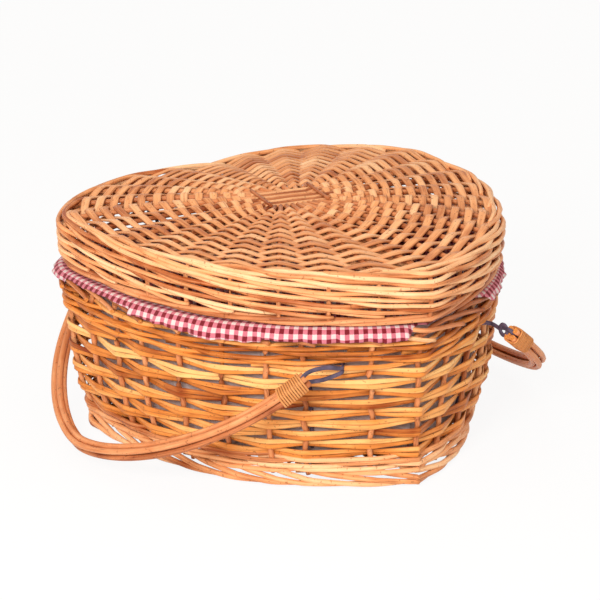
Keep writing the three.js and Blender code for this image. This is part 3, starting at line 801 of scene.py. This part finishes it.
def slath_binders(z):
    """A thin stick along each end of the slath, over the others."""
    y = np.linspace(-1, 1, STICK_POINTS) * (SLATH_WIDTH / 2 + BINDER_PAST)
    end = SLATH_LENGTH / 2 + 2
    return [(on_slath(x, y, z), 0.6, tint(0.2, 0.05)) for x in (-end, end)]


def spoke_starts():
    """Where the spokes leave the slath: nine in front, six on each side, seven behind."""
    half_long, half_wide = SLATH_LENGTH / 2, SLATH_WIDTH / 2
    front = on_slath(evenly(9, SLATH_LENGTH), -half_wide)
    right = on_slath(half_long, evenly(6, SLATH_WIDTH))
    rear = on_slath(-evenly(7, SLATH_LENGTH), half_wide)
    left = on_slath(-half_long, -evenly(6, SLATH_WIDTH))
    middle_of_front = 4
    return np.roll(np.vstack([front, right, rear, left])[:, :2], -middle_of_front, axis=0)


print("spokes from the slath:", len(spoke_starts()))

# %% Spokes and rings
SPOKE_POINTS = 20
RING_LENGTHS = 4


class Fan:
    """Spokes from the slath to an edge, over a slow dome."""

    def __init__(self, edge_points, rise):
        self.inner = spoke_starts()
        self.outer = edge_points[:, :2]
        self.edge_z = edge_points[0, 2]
        self.rise = rise

    def at(self, place, share):
        share = np.broadcast_to(share, len(place))[:, None]
        inner, outer = (between(place, range(STAKES), ends, STAKES) for ends in (self.inner, self.outer))
        flat = inner * (1 - share) + outer * share
        return np.column_stack([flat, self.edge_z + self.rise * (1 - share[:, 0] ** 2)])

    def length(self, place):
        reach = np.linalg.norm(self.outer - self.inner, axis=1)
        return np.interp(place, range(STAKES), reach, period=STAKES)

    def spoke(self, stake):
        share = np.linspace(-0.02, 1, SPOKE_POINTS)
        return self.at(np.full(SPOKE_POINTS, stake), share), 1 - 0.1 * share, tint(0.4, 0.15)

    def ring(self, row, share, step, lift, strip_width):
        strands = []
        for place, over, end in pieced(passes(row + 1), RING_LENGTHS, 0.3, 0.125, 0.8):
            points = self.at(place, share + 0.1 * step * wander(place, 20))
            points[:, 2] += lift * over - 1.2 * end
            spread = 1.1 + 0.12 * over - 0.2 * end
            strands.append((points, self.length(place) * step / strip_width * spread, tint(0.5, 0.15)))
        return strands

    def rings(self, count, first, last, lift, more_lift, strip_width):
        """Rings from the slath out. Strips rise more where the spokes lie further apart."""
        step = (last - first) / (count - 1)
        strands = []
        for row in range(count):
            share = first + row * step
            strands += self.ring(row, share, step, lift + more_lift * math.sqrt(share), strip_width)
        return strands


# %% Lid top
TOP_EDGE = 207.7
DOME = 8
TOP_OUT = 2.0
LID_RINGS = 24
SPOKE_RADIUS = 2.6
LID_STRIP_WIDTH = 7.0
slath_z = TOP_EDGE + DOME
whole_stakes = np.arange(STAKES, dtype=float)
lid_fan = Fan(upright(whole_stakes, TOP_OUT, TOP_EDGE), DOME)

lay("lid_fan", at_stakes(lid_fan.spoke), buff, SPOKE_RADIUS, "lid", "lid_spokes")
slath = slath_sticks(slath_z + 0.4) + slath_binders(slath_z + 4.0)
lay("lid_slath", slath, buff, SPOKE_RADIUS, "lid", "lid_spokes")

lid_strip = section("lid strip", 1.9, LID_STRIP_WIDTH, 12, 3.0)
rings = lid_fan.rings(LID_RINGS, 0.085, 0.985, 2.3, 2.4, LID_STRIP_WIDTH)
lay("woven_lid_top", rings, peeled, lid_strip, "lid", *numbered("lid_ring", 8))

# %% [markdown]
# ## Base
#
# The base can't be seen in the photograph. It is woven as the lid's top is, but flat, with thinner sticks
# and wider strips, and it ends inside the foot wale. The same `Fan` makes it, on the leaning wall.

# %% Base
BASE_Z = 18.6
BASE_INSET = 9.8
BASE_RINGS = 18
BASE_STICK_RADIUS = 2.0
BASE_STRIP_WIDTH = 9.0
base_fan = Fan(leaning(whole_stakes, -BASE_INSET, BASE_Z), 0)
sticks = at_stakes(base_fan.spoke) + slath_sticks(BASE_Z)
lay("base_fan", sticks, buff, BASE_STICK_RADIUS, "basket", "base_sticks")
rings = base_fan.rings(BASE_RINGS, 0.06, 0.98, 2.4, 0, BASE_STRIP_WIDTH)
base_strip = section("base strip", 2.1, BASE_STRIP_WIDTH)
lay("woven_base", rings, golden, base_strip, "basket", "base_floor")

# %% [markdown]
# ## Lid border and skirt
#
# The lid is a shallow basket upside down. Three rods rolled round each other make its border. Short
# stakes show in the gap above it. The skirt is a French rand: one rod starts at every stake, all of them
# slant the same way, and so they wind down together from the rounded shoulder to the border. Level rows
# would be simpler, but the photograph shows the slant.

# %% Lid border and stakes
LID_BORDER_Z = 166.4
BORDER_OUT = 6
BORDER_RODS = 3
BORDER_TURNS = 5
BORDER_ROLL = 2.1
BORDER_RADIUS = 2.2
LID_STAKE_RADIUS = 2.1


def border_strand(number):
    place = np.arange(0, STAKES, 0.125)
    turn = 2 * math.pi * (BORDER_TURNS * place / STAKES + number / BORDER_RODS)
    drift = 0.3 * wander(place)
    z = LID_BORDER_Z + BORDER_ROLL * np.sin(turn) + drift
    points = upright(place, BORDER_OUT + BORDER_ROLL * np.cos(turn), z)
    return points, 1 + 0.05 * wander(place), tint(0.5, 0.2)


def lid_stake(stake):
    z = np.array([LID_BORDER_Z, 171, 175, 185, 195, 201, 204.5, 207.4])
    out = np.array([BORDER_OUT, 6.6, 7.6, 8, 8, 7.6, 5.6, 2])
    return upright(np.full(len(z), float(stake)), out, z), 1.0, tint(0.5, 0.2)


rolled = [border_strand(i) for i in range(BORDER_RODS)]
lay("lid_border", rolled, buff, BORDER_RADIUS, "lid", "lid_stakes", closed=True)
lay("lid_short_stakes", at_stakes(lid_stake), buff, LID_STAKE_RADIUS, "lid", "lid_stakes")

# %% Skirt
SKIRT_PROFILE = np.array(
    [(8.4, 171.6), (9.4, 186), (10.2, 198), (10.4, 203.5), (9.0, 207.6), (5.6, 210.4), (1.4, 211.6)]
)
SKIRT_LAP = 10.8
SKIRT_RADIUS = 2.1
climb = run_of(SKIRT_PROFILE)


def skirt_rod(stake):
    """A rod that winds from the shoulder down to the border, in front of two stakes and behind one."""
    place = np.arange(stake - 0.4, stake + SKIRT_LAP + 0.31, 0.125)
    share = np.linspace(0, 1, len(place))
    height = climb[-1] * (1 - share) + 0.5 * wander(place, 22)
    reach = np.interp(height, [0, 30, climb[-1]], [3.6, 3.0, 1.2])
    hidden = tucked(place)
    out = np.interp(height, climb, SKIRT_PROFILE[:, 0]) + reach * swing(place, passes(stake, 3)) - 2 * hidden
    z = np.interp(height, climb, SKIRT_PROFILE[:, 1]) - 3.5 * hidden * (1 - share)
    return upright(place, out, z), 1.12 - 0.2 * share - 0.15 * hidden, tint(0.5, 0.22)


lay("lid_skirt", at_stakes(skirt_rod), peeled, SKIRT_RADIUS, "lid", *numbered("lid_skirt", 5))

# %% [markdown]
# ## Handles
#
# Each handle is four willow rods steamed into one bow and bound with cane at both ends. The bow lies in
# the plane of its two pins, which the solid model's joints give. A superellipse is fuller than a circle's
# arc and turns in more sharply near the pins, as the bow in the photograph does.

# %% Bow of a handle
PIN_SPAN = 387.95
BOW_RISE = 176
BOW_SHAPE = 1.69
BOW_END = 8
BOW_LEAN = math.radians(52)
BOW_CUT = 22
BOW_POINTS = 121
ROD_POINTS = 110
ROD_RADIUS = 3.0
ROD_SPACING = 3.15
END_SPACING = 3.4
BINDING_START = 24.5
BINDING_PITCH = 2.35
BINDING_TURNS = 11
BINDING_END = BINDING_START + BINDING_PITCH * BINDING_TURNS
BINDING_POWER = 0.45
CANE_RADIUS = 1.0


class Bow:
    def __init__(self, joint_name, mirror):
        joint = joints[joint_name]
        sideways, along, _ = (abs(part) for part in joint["axis"])
        self.mirror = mirror
        self.axis = np.array([-mirror * sideways, along, 0.0])
        self.middle = np.array(joint["pos_m"]) / MM + self.axis * PIN_SPAN / 2
        level = np.array([mirror * self.axis[1], -mirror * self.axis[0], 0])
        self.outward = level * math.sin(BOW_LEAN) - np.array([0, 0, math.cos(BOW_LEAN)])
        self.normal = np.cross(self.axis, self.outward)
        turn = np.linspace(0, math.pi, BOW_POINTS)
        power = 2 / BOW_SHAPE
        reach = PIN_SPAN / 2
        swung = -drawn_out(np.cos(turn), power) * reach
        rise = np.sin(turn).clip(0) ** power * BOW_RISE
        swung = np.concatenate([[-reach], swung, [reach]])
        rise = np.concatenate([[-BOW_END], rise, [-BOW_END]])
        self.line = np.column_stack([swung, rise])
        self.run = run_of(self.line)
        self.total = self.run[-1]

    def flat(self, run):
        return between(run, self.run, self.line)

    def at(self, run, across=0.0, beside=0.0):
        """Points so far along the bow, across its middle line and beside its plane."""
        spot = self.flat(run)
        way = unit(self.flat(np.minimum(run + 3, self.total)) - self.flat(np.maximum(run - 3, 0)))
        sideways = way[:, 1:] * self.axis - way[:, :1] * self.outward
        points = self.middle + spot[:, :1] * self.axis + spot[:, 1:] * self.outward
        across, beside = (np.broadcast_to(part, len(run))[:, None] for part in (across, beside))
        return points + sideways * across + self.normal * beside

    def rod(self, across, beside):
        run = np.linspace(BOW_CUT - chance.uniform(0, 2.5), self.total - BOW_CUT, ROD_POINTS)
        near = np.minimum(run, self.total - run)
        closed = np.clip((near - BINDING_END) / 30, 0, 1)
        spacing = END_SPACING + (ROD_SPACING - END_SPACING) * closed * closed * (3 - 2 * closed)
        loose = np.clip((near - 40) / 60, 0, 1)
        drift = loose * 0.6 * np.sin(run / 61 + chance.uniform(0, 6))
        lift = loose * 0.6 * np.sin(run / 83 + chance.uniform(0, 6))
        points = self.at(run, across * ROD_SPACING + drift, beside * spacing + lift)
        return points, 1 + 0.05 * np.sin(run / 90 + chance.uniform(0, 6)), tint(0.5, 0.12)

    def binding(self, from_rear):
        """One cane wound round the rods, turn beside turn, just behind their cut ends."""
        around = np.arange(0, BINDING_TURNS, 1 / 28)
        run = BINDING_START + around * BINDING_PITCH
        turn = 2 * math.pi * around + 0.4
        beyond = ROD_RADIUS + CANE_RADIUS
        across = drawn_out(np.cos(turn), BINDING_POWER) * (ROD_SPACING + beyond)
        beside = drawn_out(np.sin(turn), BINDING_POWER) * (END_SPACING + beyond)
        points = self.at(self.total - run if from_rear else run, across, beside)
        return points, 1 + 0.04 * np.sin(around * 9), tint(0.38, 0.06)

    def wall(self, place, out, z):
        """A point of the basket's wall, its place counted from the tip on the bow's own side."""
        place = place if self.mirror > 0 else STAKES - place
        return leaning(np.array([place]), out, np.array([z]))[0]


# %% Both handles
CORNERS = [(1, 1), (-1, 1), (-1, -1), (1, -1)]
bows = {"left": Bow("handle_left_swing", -1), "right": Bow("handle_right_swing", 1)}
for hand, bow in bows.items():
    body = f"handle_{hand}"
    rods = [bow.rod(*corner) for corner in CORNERS]
    lay(f"{hand}_handle", rods, buff, ROD_RADIUS, body, *numbered(f"{body}_rod", 4), ends=cut_end)
    for end in ("front", "rear"):
        wound = [bow.binding(end == "rear")]
        lay(f"{hand}_{end}_binding", wound, cane, CANE_RADIUS, body, f"{body}_binding_{end}")

# %% [markdown]
# ## Laces
#
# Leather laces tie each handle through the wall, just under the upper wale, and a tail runs down inside.
# At the front right the lace is tied in a ring beside the rods. A simulation could tie them, but a smooth
# line through a few points is enough. Each runs from the basket out to its handle's rods.

# %% Path of a lace
LACE_Z = 121.4
LACE_TAIL = (36, 60, 84, 104)
ROUNDING = 9
RING_RADIUS = 5


def rounded(points):
    """A smooth line through a few points."""
    points = np.array(points)
    ends = np.vstack([2 * points[0] - points[1], points, 2 * points[-1] - points[-2]])
    share = np.linspace(0, 1, ROUNDING, endpoint=False)[:, None]
    parts = []
    for a, b, c, d in zip(ends, ends[1:], ends[2:], ends[3:]):
        turning = share**2 * (2 * a - 5 * b + 4 * c - d) + share**3 * (3 * b - 3 * c + d - a)
        parts.append(b + (share * (c - a) + turning) / 2)
    return np.vstack(parts + [points[-1:]])


def lace(bow, place, from_rear, tied, tail_place):
    """A lace from its tail inside the wall, out to the rods' ends and back, or tied there in a ring."""
    run = np.array([BOW_CUT - 2, BOW_CUT + 10, BOW_CUT + 14])
    end, inside, deep = bow.at(bow.total - run if from_rear else run)
    up = np.array([0, 0, 1.0])
    out = bow.wall(place, 10, LACE_Z)
    half_way = (out + end) / 2
    tail = [bow.wall(tail_place, -11, z) for z in LACE_TAIL]
    through = [bow.wall(place, -10, LACE_Z - 4), bow.wall(place, 0, LACE_Z + 1), out + 1.5 * up]
    if tied:
        along = unit(end - out)
        turn = np.linspace(math.pi, -1.1 * math.pi, 14)[:, None]
        ring = half_way + 4 * along + RING_RADIUS * (np.cos(turn) * along + np.sin(turn) * up)
        path = tail + through + list(ring) + [end + 2 * up, inside]
    else:
        back = [end - 4 * up, half_way - 5 * up, out - 2.5 * up, bow.wall(place, 0, LACE_Z - 3)]
        path = tail + through + [half_way + 6 * up, end + 5 * up, inside, deep, *back]
    return rounded(path), out, end


# %% Four laces
FRONT_LACE = {"left": (1.75, 2.43), "right": (2.75, 2.6)}
REAR_LACE = (12.5, 12.45)
thong = section("thong", 4.2, 2.2)
for hand, bow in bows.items():
    body = f"handle_{hand}"
    for end in ("front", "rear"):
        place, tail_place = FRONT_LACE[hand] if end == "front" else REAR_LACE
        tied = hand == "right" and end == "front"
        path, begins, ends = lace(bow, place, end == "rear", tied, tail_place)
        in_tail = np.arange(len(path)) < len(LACE_TAIL) * ROUNDING
        wide_tail = np.interp(path[:, 2], [LACE_Z - 14, LACE_Z - 6], [1.45, 1.0])
        thickness = np.where(in_tail, wide_tail, 1.0)
        thongs = laid(f"{hand}_{end}_lace", [(path, thickness, 0.5)], leather, thong)
        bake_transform(thongs)
        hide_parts(f"{body}_lace_{end}")
        print(f"{thongs.name}: {len(path)} points, gives as the handle swings")

# %% [markdown]
# ## Hinge loops
#
# At the back, out of the photograph's sight, two leather loops hold the lid's border to the rim and so are
# the hinges. A loop is two half circles, one round each border, and the closed curve joins them straight.

# %% Hinge loops
HINGE_PLACE = 12.6
LOOP_REACH = 6.7
LOOP_RADIUS = 1.8
LOOP_POINTS = 32


def hinge_loop(place):
    low = leaning(np.array([place]), 0, np.array([RIM_TOP - 3.6]))[0]
    high = upright(np.array([place]), BORDER_OUT, LID_BORDER_Z)[0]
    upward = unit(high - low)
    outward = np.cross(upward, (1, 0, 0))
    turn = (np.arange(LOOP_POINTS) + 0.5) * 2 * math.pi / LOOP_POINTS
    centre = np.where((turn < math.pi)[:, None], high, low)
    return centre + LOOP_REACH * (np.cos(turn)[:, None] * outward + np.sin(turn)[:, None] * upward)


for hand, place in (("right", HINGE_PLACE), ("left", STAKES - HINGE_PLACE)):
    loop = [(hinge_loop(place), 1.0, 0.5)]
    node = f"hinge_loop_{hand}"
    lay(f"{hand}_hinge_loop", loop, leather, LOOP_RADIUS, "basket", node, closed=True)

# %% [markdown]
# ## Lining bag
#
# The lining is a bag of checked cotton that hangs inside the wall, so its back shows through the gaps. A
# simulation could hang it, but it has little slack. So it is a grid wrapped round the heart, a little
# smaller than the wall, with a flat bottom.


# %% Cloth
def wrapped(columns, rows, shape):
    """A grid of cloth wrapped once round. shape(place, drop) gives points, for drop from 0 to 1."""
    work = bmesh.new()
    bmesh.ops.create_grid(work, x_segments=columns, y_segments=rows, size=1)
    work.verts.ensure_lookup_table()
    flat = np.array([vertex.co[:2] for vertex in work.verts])
    place = (flat[:, 0] + 1) / 2 * STAKES
    drop = (flat[:, 1] + 1) / 2
    return work, place, drop, shape(place, drop)


def cloth_run(place, shape, drop):
    """The length of cloth from the tip to each place."""
    steps = np.linspace(0, STAKES, 1400)
    return np.interp(place, steps, run_of(shape(steps, np.full(len(steps), drop))))


def finish_cloth(name, work, points, measure, finishes):
    sheet = work.loops.layers.uv.new("cloth")
    work.verts.index_update()
    for face in work.faces:
        face.smooth = True
        for corner in face.loops:
            corner[sheet].uv = measure[corner.vert.index]
    for vertex, point in zip(work.verts, points):
        vertex.co = point * MM
    bmesh.ops.remove_doubles(work, verts=work.verts, dist=1e-5)
    mesh = bpy.data.meshes.new(name)
    work.to_mesh(mesh)
    work.free()
    for finish in finishes:
        mesh.materials.append(finish.material)
    return shown(name, mesh)


def thicken(piece, thickness, offset, back=0):
    """Gives cloth its thickness, with the back in a finish that is so many further on."""
    solid = piece.modifiers.new("thickness", "SOLIDIFY")
    solid.thickness = thickness * MM
    solid.offset = offset
    solid.material_offset = back


# %% Lining bag
BAG_SIZE = 0.921
BAG_TOP = RIM_TOP - 1.5
BAG_BOTTOM = 26.4
BAG_COLUMNS = STAKES * 8
BAG_ROWS = 14
LOW_EDGE = 0.05


def bag_wall(place, drop):
    z = BAG_TOP + (BAG_BOTTOM - BAG_TOP) * drop
    slack = 0.5 * np.cos(2 * math.pi * place * 1.5) * np.sin(math.pi * drop)
    points = leaning(place, slack, z)
    middle = np.array([0, MIDDLE_Y])
    points[:, :2] = middle + (points[:, :2] - middle) * BAG_SIZE
    return points


def sew_bottom(piece):
    """Closes the bag with a flat bottom, and turns the right side of the cloth inwards."""
    work = bmesh.new()
    work.from_mesh(piece.data)
    sheet = work.loops.layers.uv["cloth"]
    edges = [line for line in work.edges if line.is_boundary]
    lowest = [line for line in edges if max(end.co.z for end in line.verts) < LOW_EDGE]
    bottom = bmesh.ops.contextual_create(work, geom=lowest)["faces"]
    bmesh.ops.triangulate(work, faces=bottom)
    for face in work.faces:
        if abs(face.normal.z) > 0.9:
            for corner in face.loops:
                corner[sheet].uv = corner.vert.co.xy
    bmesh.ops.recalc_face_normals(work, faces=work.faces)
    bmesh.ops.reverse_faces(work, faces=work.faces)
    work.to_mesh(piece.data)
    work.free()


work, place, drop, points = wrapped(BAG_COLUMNS, BAG_ROWS, bag_wall)
measure = np.column_stack([cloth_run(place, bag_wall, 0.5), points[:, 2]]) * MM
bag = finish_cloth("hung_lining", work, points, measure, [gingham, cloth_back])
sew_bottom(bag)
thicken(bag, 0.9, 0, back=1)
belongs(bag, gingham, "basket", "lining_bag")

# %% [markdown]
# ## Ruffle
#
# A ruffle is sewn to the bag's top edge and folded out over the rim, where it hangs in uneven tucks and is
# drawn up at the tip. A simulation would gather it anywhere. Here each tuck has its own drop and slant, and
# the hem follows the one in the photograph.

# %% Tucks and hem
RUFFLE_IN = -16.4
RUFFLE_OUT = 10.6
DRAWN_IN = 9
HEM_DROP = 6.4
LEAST_DROP = 0.6
TUCKS = 26
tuck_ends = np.cumsum(chance.uniform(0.6, 1.7, TUCKS))
tuck_ends *= STAKES / tuck_ends[-1]
tuck_drop = chance.uniform(-2.4, 2.4, TUCKS)
tuck_slant = chance.uniform(-4.5, 4.5, TUCKS)
PULLED_PLACES = [0, 1.6, 5, 7, 17, 19, 21, 22.3, 23.6, 25, 27, 28]
PULLED_DOWN = [0, -2.5, -2.5, 0, 0, -4, -4.5, 1, 3.2, 0.5, 1.5, 0]


def tuck(place):
    """Which tuck of the ruffle a place is in, and how far along it, from 0 to 1."""
    number = np.searchsorted(tuck_ends, place % STAKES).clip(0, TUCKS - 1)
    begins = np.where(number > 0, tuck_ends[number - 1], 0)
    return number, (place % STAKES - begins) / (tuck_ends[number] - begins)


def hanging(place):
    """1 where the ruffle hangs free, 0 where it is drawn up at the tip and over the hinges."""
    away = from_tip(place)
    right = np.clip((away - 1.9) / 0.5, 0, 1)
    left = np.clip((-away - 0.2) / 0.25, 0, 1)
    from_hinge = np.abs(np.abs(away) - HINGE_PLACE)
    return np.maximum(right, left) * np.clip((from_hinge - 0.7) / 0.6, 0, 1)


def hem_drop(place):
    number, along = tuck(place)
    uneven = tuck_drop[number] + tuck_slant[number] * (along - 0.5)
    pulled = np.interp(place % STAKES, PULLED_PLACES, PULLED_DOWN)
    return LEAST_DROP + (HEM_DROP + uneven + pulled) * hanging(place)


def ruffle_reach(place):
    """How far the ruffle goes out over the rim before it hangs."""
    return RUFFLE_OUT - RUFFLE_IN - DRAWN_IN * (1 - hanging(place))


print(f"ruffle: {TUCKS} tucks, the hem up to {hem_drop(np.linspace(0, STAKES, 500)).max():.0f} mm down")

# %% Ruffle
RUFFLE_TOP = 161.2
RUFFLE_TUCK = 9.0
RUFFLE_COLUMNS = STAKES * 18
RUFFLE_ROWS = 22
RUFFLE_FULLNESS = 1.05


def ruffle_shape(place, drop):
    hang, free = hem_drop(place), hanging(place)
    _, along = tuck(place)
    over = ruffle_reach(place)
    run = drop * (RUFFLE_TUCK + over + hang)
    down = np.clip(run - RUFFLE_TUCK - over, 0, None)
    across = np.clip(run - RUFFLE_TUCK, 0, over)
    z = RUFFLE_TOP - np.clip(RUFFLE_TUCK - run, 0, None) - down
    z -= (1 + 2 * free) * np.clip(across / over - 0.85, 0, None) / 0.15
    loose = (down / 9) ** 0.8
    gather = np.cos(2 * math.pi * (place * 1.6 + 0.3 * np.sin(place * 0.9))) + 0.7 * np.cos(place * 19.3 + 1)
    lapped = 3.2 * (1 - along) * np.clip(down / 5, 0, 1)
    out = RUFFLE_IN + across + loose * (1.2 + 1.3 * gather) + lapped + 0.12 * down
    return leaning(place, out, z)


work, place, drop, points = wrapped(RUFFLE_COLUMNS, RUFFLE_ROWS, ruffle_shape)
width = (RUFFLE_TUCK + ruffle_reach(place) + hem_drop(place)) * drop
measure = np.column_stack([cloth_run(place, ruffle_shape, 0.5) * RUFFLE_FULLNESS, width]) * MM
ruffle = finish_cloth("gingham_ruffle", work, points, measure, [gingham])
thicken(ruffle, 0.7, 1)
belongs(ruffle, gingham, "basket", "lining_ruffle")

for profile in (split_strip, lid_strip, base_strip, thong):
    bpy.data.objects.remove(profile)

# %% [markdown]
# ## Table and light
#
# The photograph has a white ground and soft light with a little more from the upper left. A white table
# keeps the basket's shadow. To rays that are seen directly, in a gloss or through glass the sky is white and
# the table nearly so, and all others meet plain light.


# %% Table and light
def seen_directly(nodes):
    kinds = ("Camera", "Glossy", "Transmission")
    camera_ray, glossy_ray, clear_ray = (nodes.node("LightPath", {}, f"Is {kind} Ray") for kind in kinds)
    return camera_ray.most(glossy_ray).most(clear_ray)


bpy.ops.mesh.primitive_plane_add(size=8)
table = bpy.context.active_object
table.name = "table"
white = Finish("white table", Roughness=0.9, Base_Color=paint(248, 248, 248))
glow = white.node("Emission", {"Color": (1, 1, 1, 1), "Strength": 1.0})
surface = Wire(white, white.shader.outputs[0])
pale = white.node("MixShader", {0: seen_directly(white) * 0.9, 1: surface, 2: glow})
white.plug(white.tree.nodes["Material Output"].inputs["Surface"], pale)
table.data.materials.append(white.material)
table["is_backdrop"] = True

world = bpy.data.worlds.new("studio")
bpy.context.scene.world = world
studio = Nodes(world)
sky = studio.tree.nodes["Background"]
studio.plug(sky.inputs["Color"], (1.0, 0.92, 0.83, 1))
studio.plug(sky.inputs["Strength"], 0.76)
backdrop = studio.node("Background", {"Color": (1, 1, 1, 1), "Strength": 1.0})
chosen = studio.node("MixShader", {0: seen_directly(studio), 1: Wire(studio, sky.outputs[0]), 2: backdrop})
studio.plug(studio.tree.nodes["World Output"].inputs["Surface"], chosen)


def aimed(place, aim):
    """The place and turn of a lamp or camera that looks from place to aim."""
    turn = (Vector(aim) - Vector(place)).to_track_quat("-Z", "Y")
    return Matrix.Translation(place) @ turn.to_matrix().to_4x4()


key = bpy.data.lights.new("key", "AREA")
key.size = 0.5
key.energy = 19
key.color = (1, 0.97, 0.92)
shown("key", key).matrix_world = aimed((-1.1, -1.0, 0.9), (0, 0, 0.11))
print(f"key light: {key.energy:.0f} W")

# %% [markdown]
# ## Camera
#
# The camera stands well back with a long lens, to the left of the tip and a little above. Place and lens
# could be set by eye, but come from fitting the heart to the photograph's outline, in pixels. The shift
# puts the basket where it stands in the picture.

# %% Camera
AZIMUTH = math.radians(-32.427)
ELEVATION = math.radians(19.767)
DISTANCE = 2.9871
FOCAL_PIXELS = 3152.9
PICTURE_PIXELS = 600
SHIFT_RIGHT = 11.24
SHIFT_DOWN = 25.27

aim = Vector((0, MIDDLE_Y * MM, 0.1))
level = math.cos(ELEVATION)
back = Vector((math.sin(AZIMUTH) * level, -math.cos(AZIMUTH) * level, math.sin(ELEVATION)))
camera = bpy.data.cameras.new("camera")
camera.sensor_width = 36
camera.lens = FOCAL_PIXELS * camera.sensor_width / PICTURE_PIXELS
camera.shift_x = -SHIFT_RIGHT / PICTURE_PIXELS
camera.shift_y = SHIFT_DOWN / PICTURE_PIXELS
stand = shown("camera", camera)
stand.matrix_world = aimed(aim + back * DISTANCE, aim)
bpy.context.scene.camera = stand
bpy.context.scene.view_settings.view_transform = "Standard"
print(f"camera: {camera.lens:.0f} mm lens, {DISTANCE:.2f} m away")

# %% Sizes
visual_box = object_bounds()
boxes = {
    "cad": [list(map(float, corner)) for corner in cad_box],
    "visual": [list(map(float, corner)) for corner in visual_box],
}
print("solid model:", boxes["cad"])
print("visual model:", boxes["visual"])
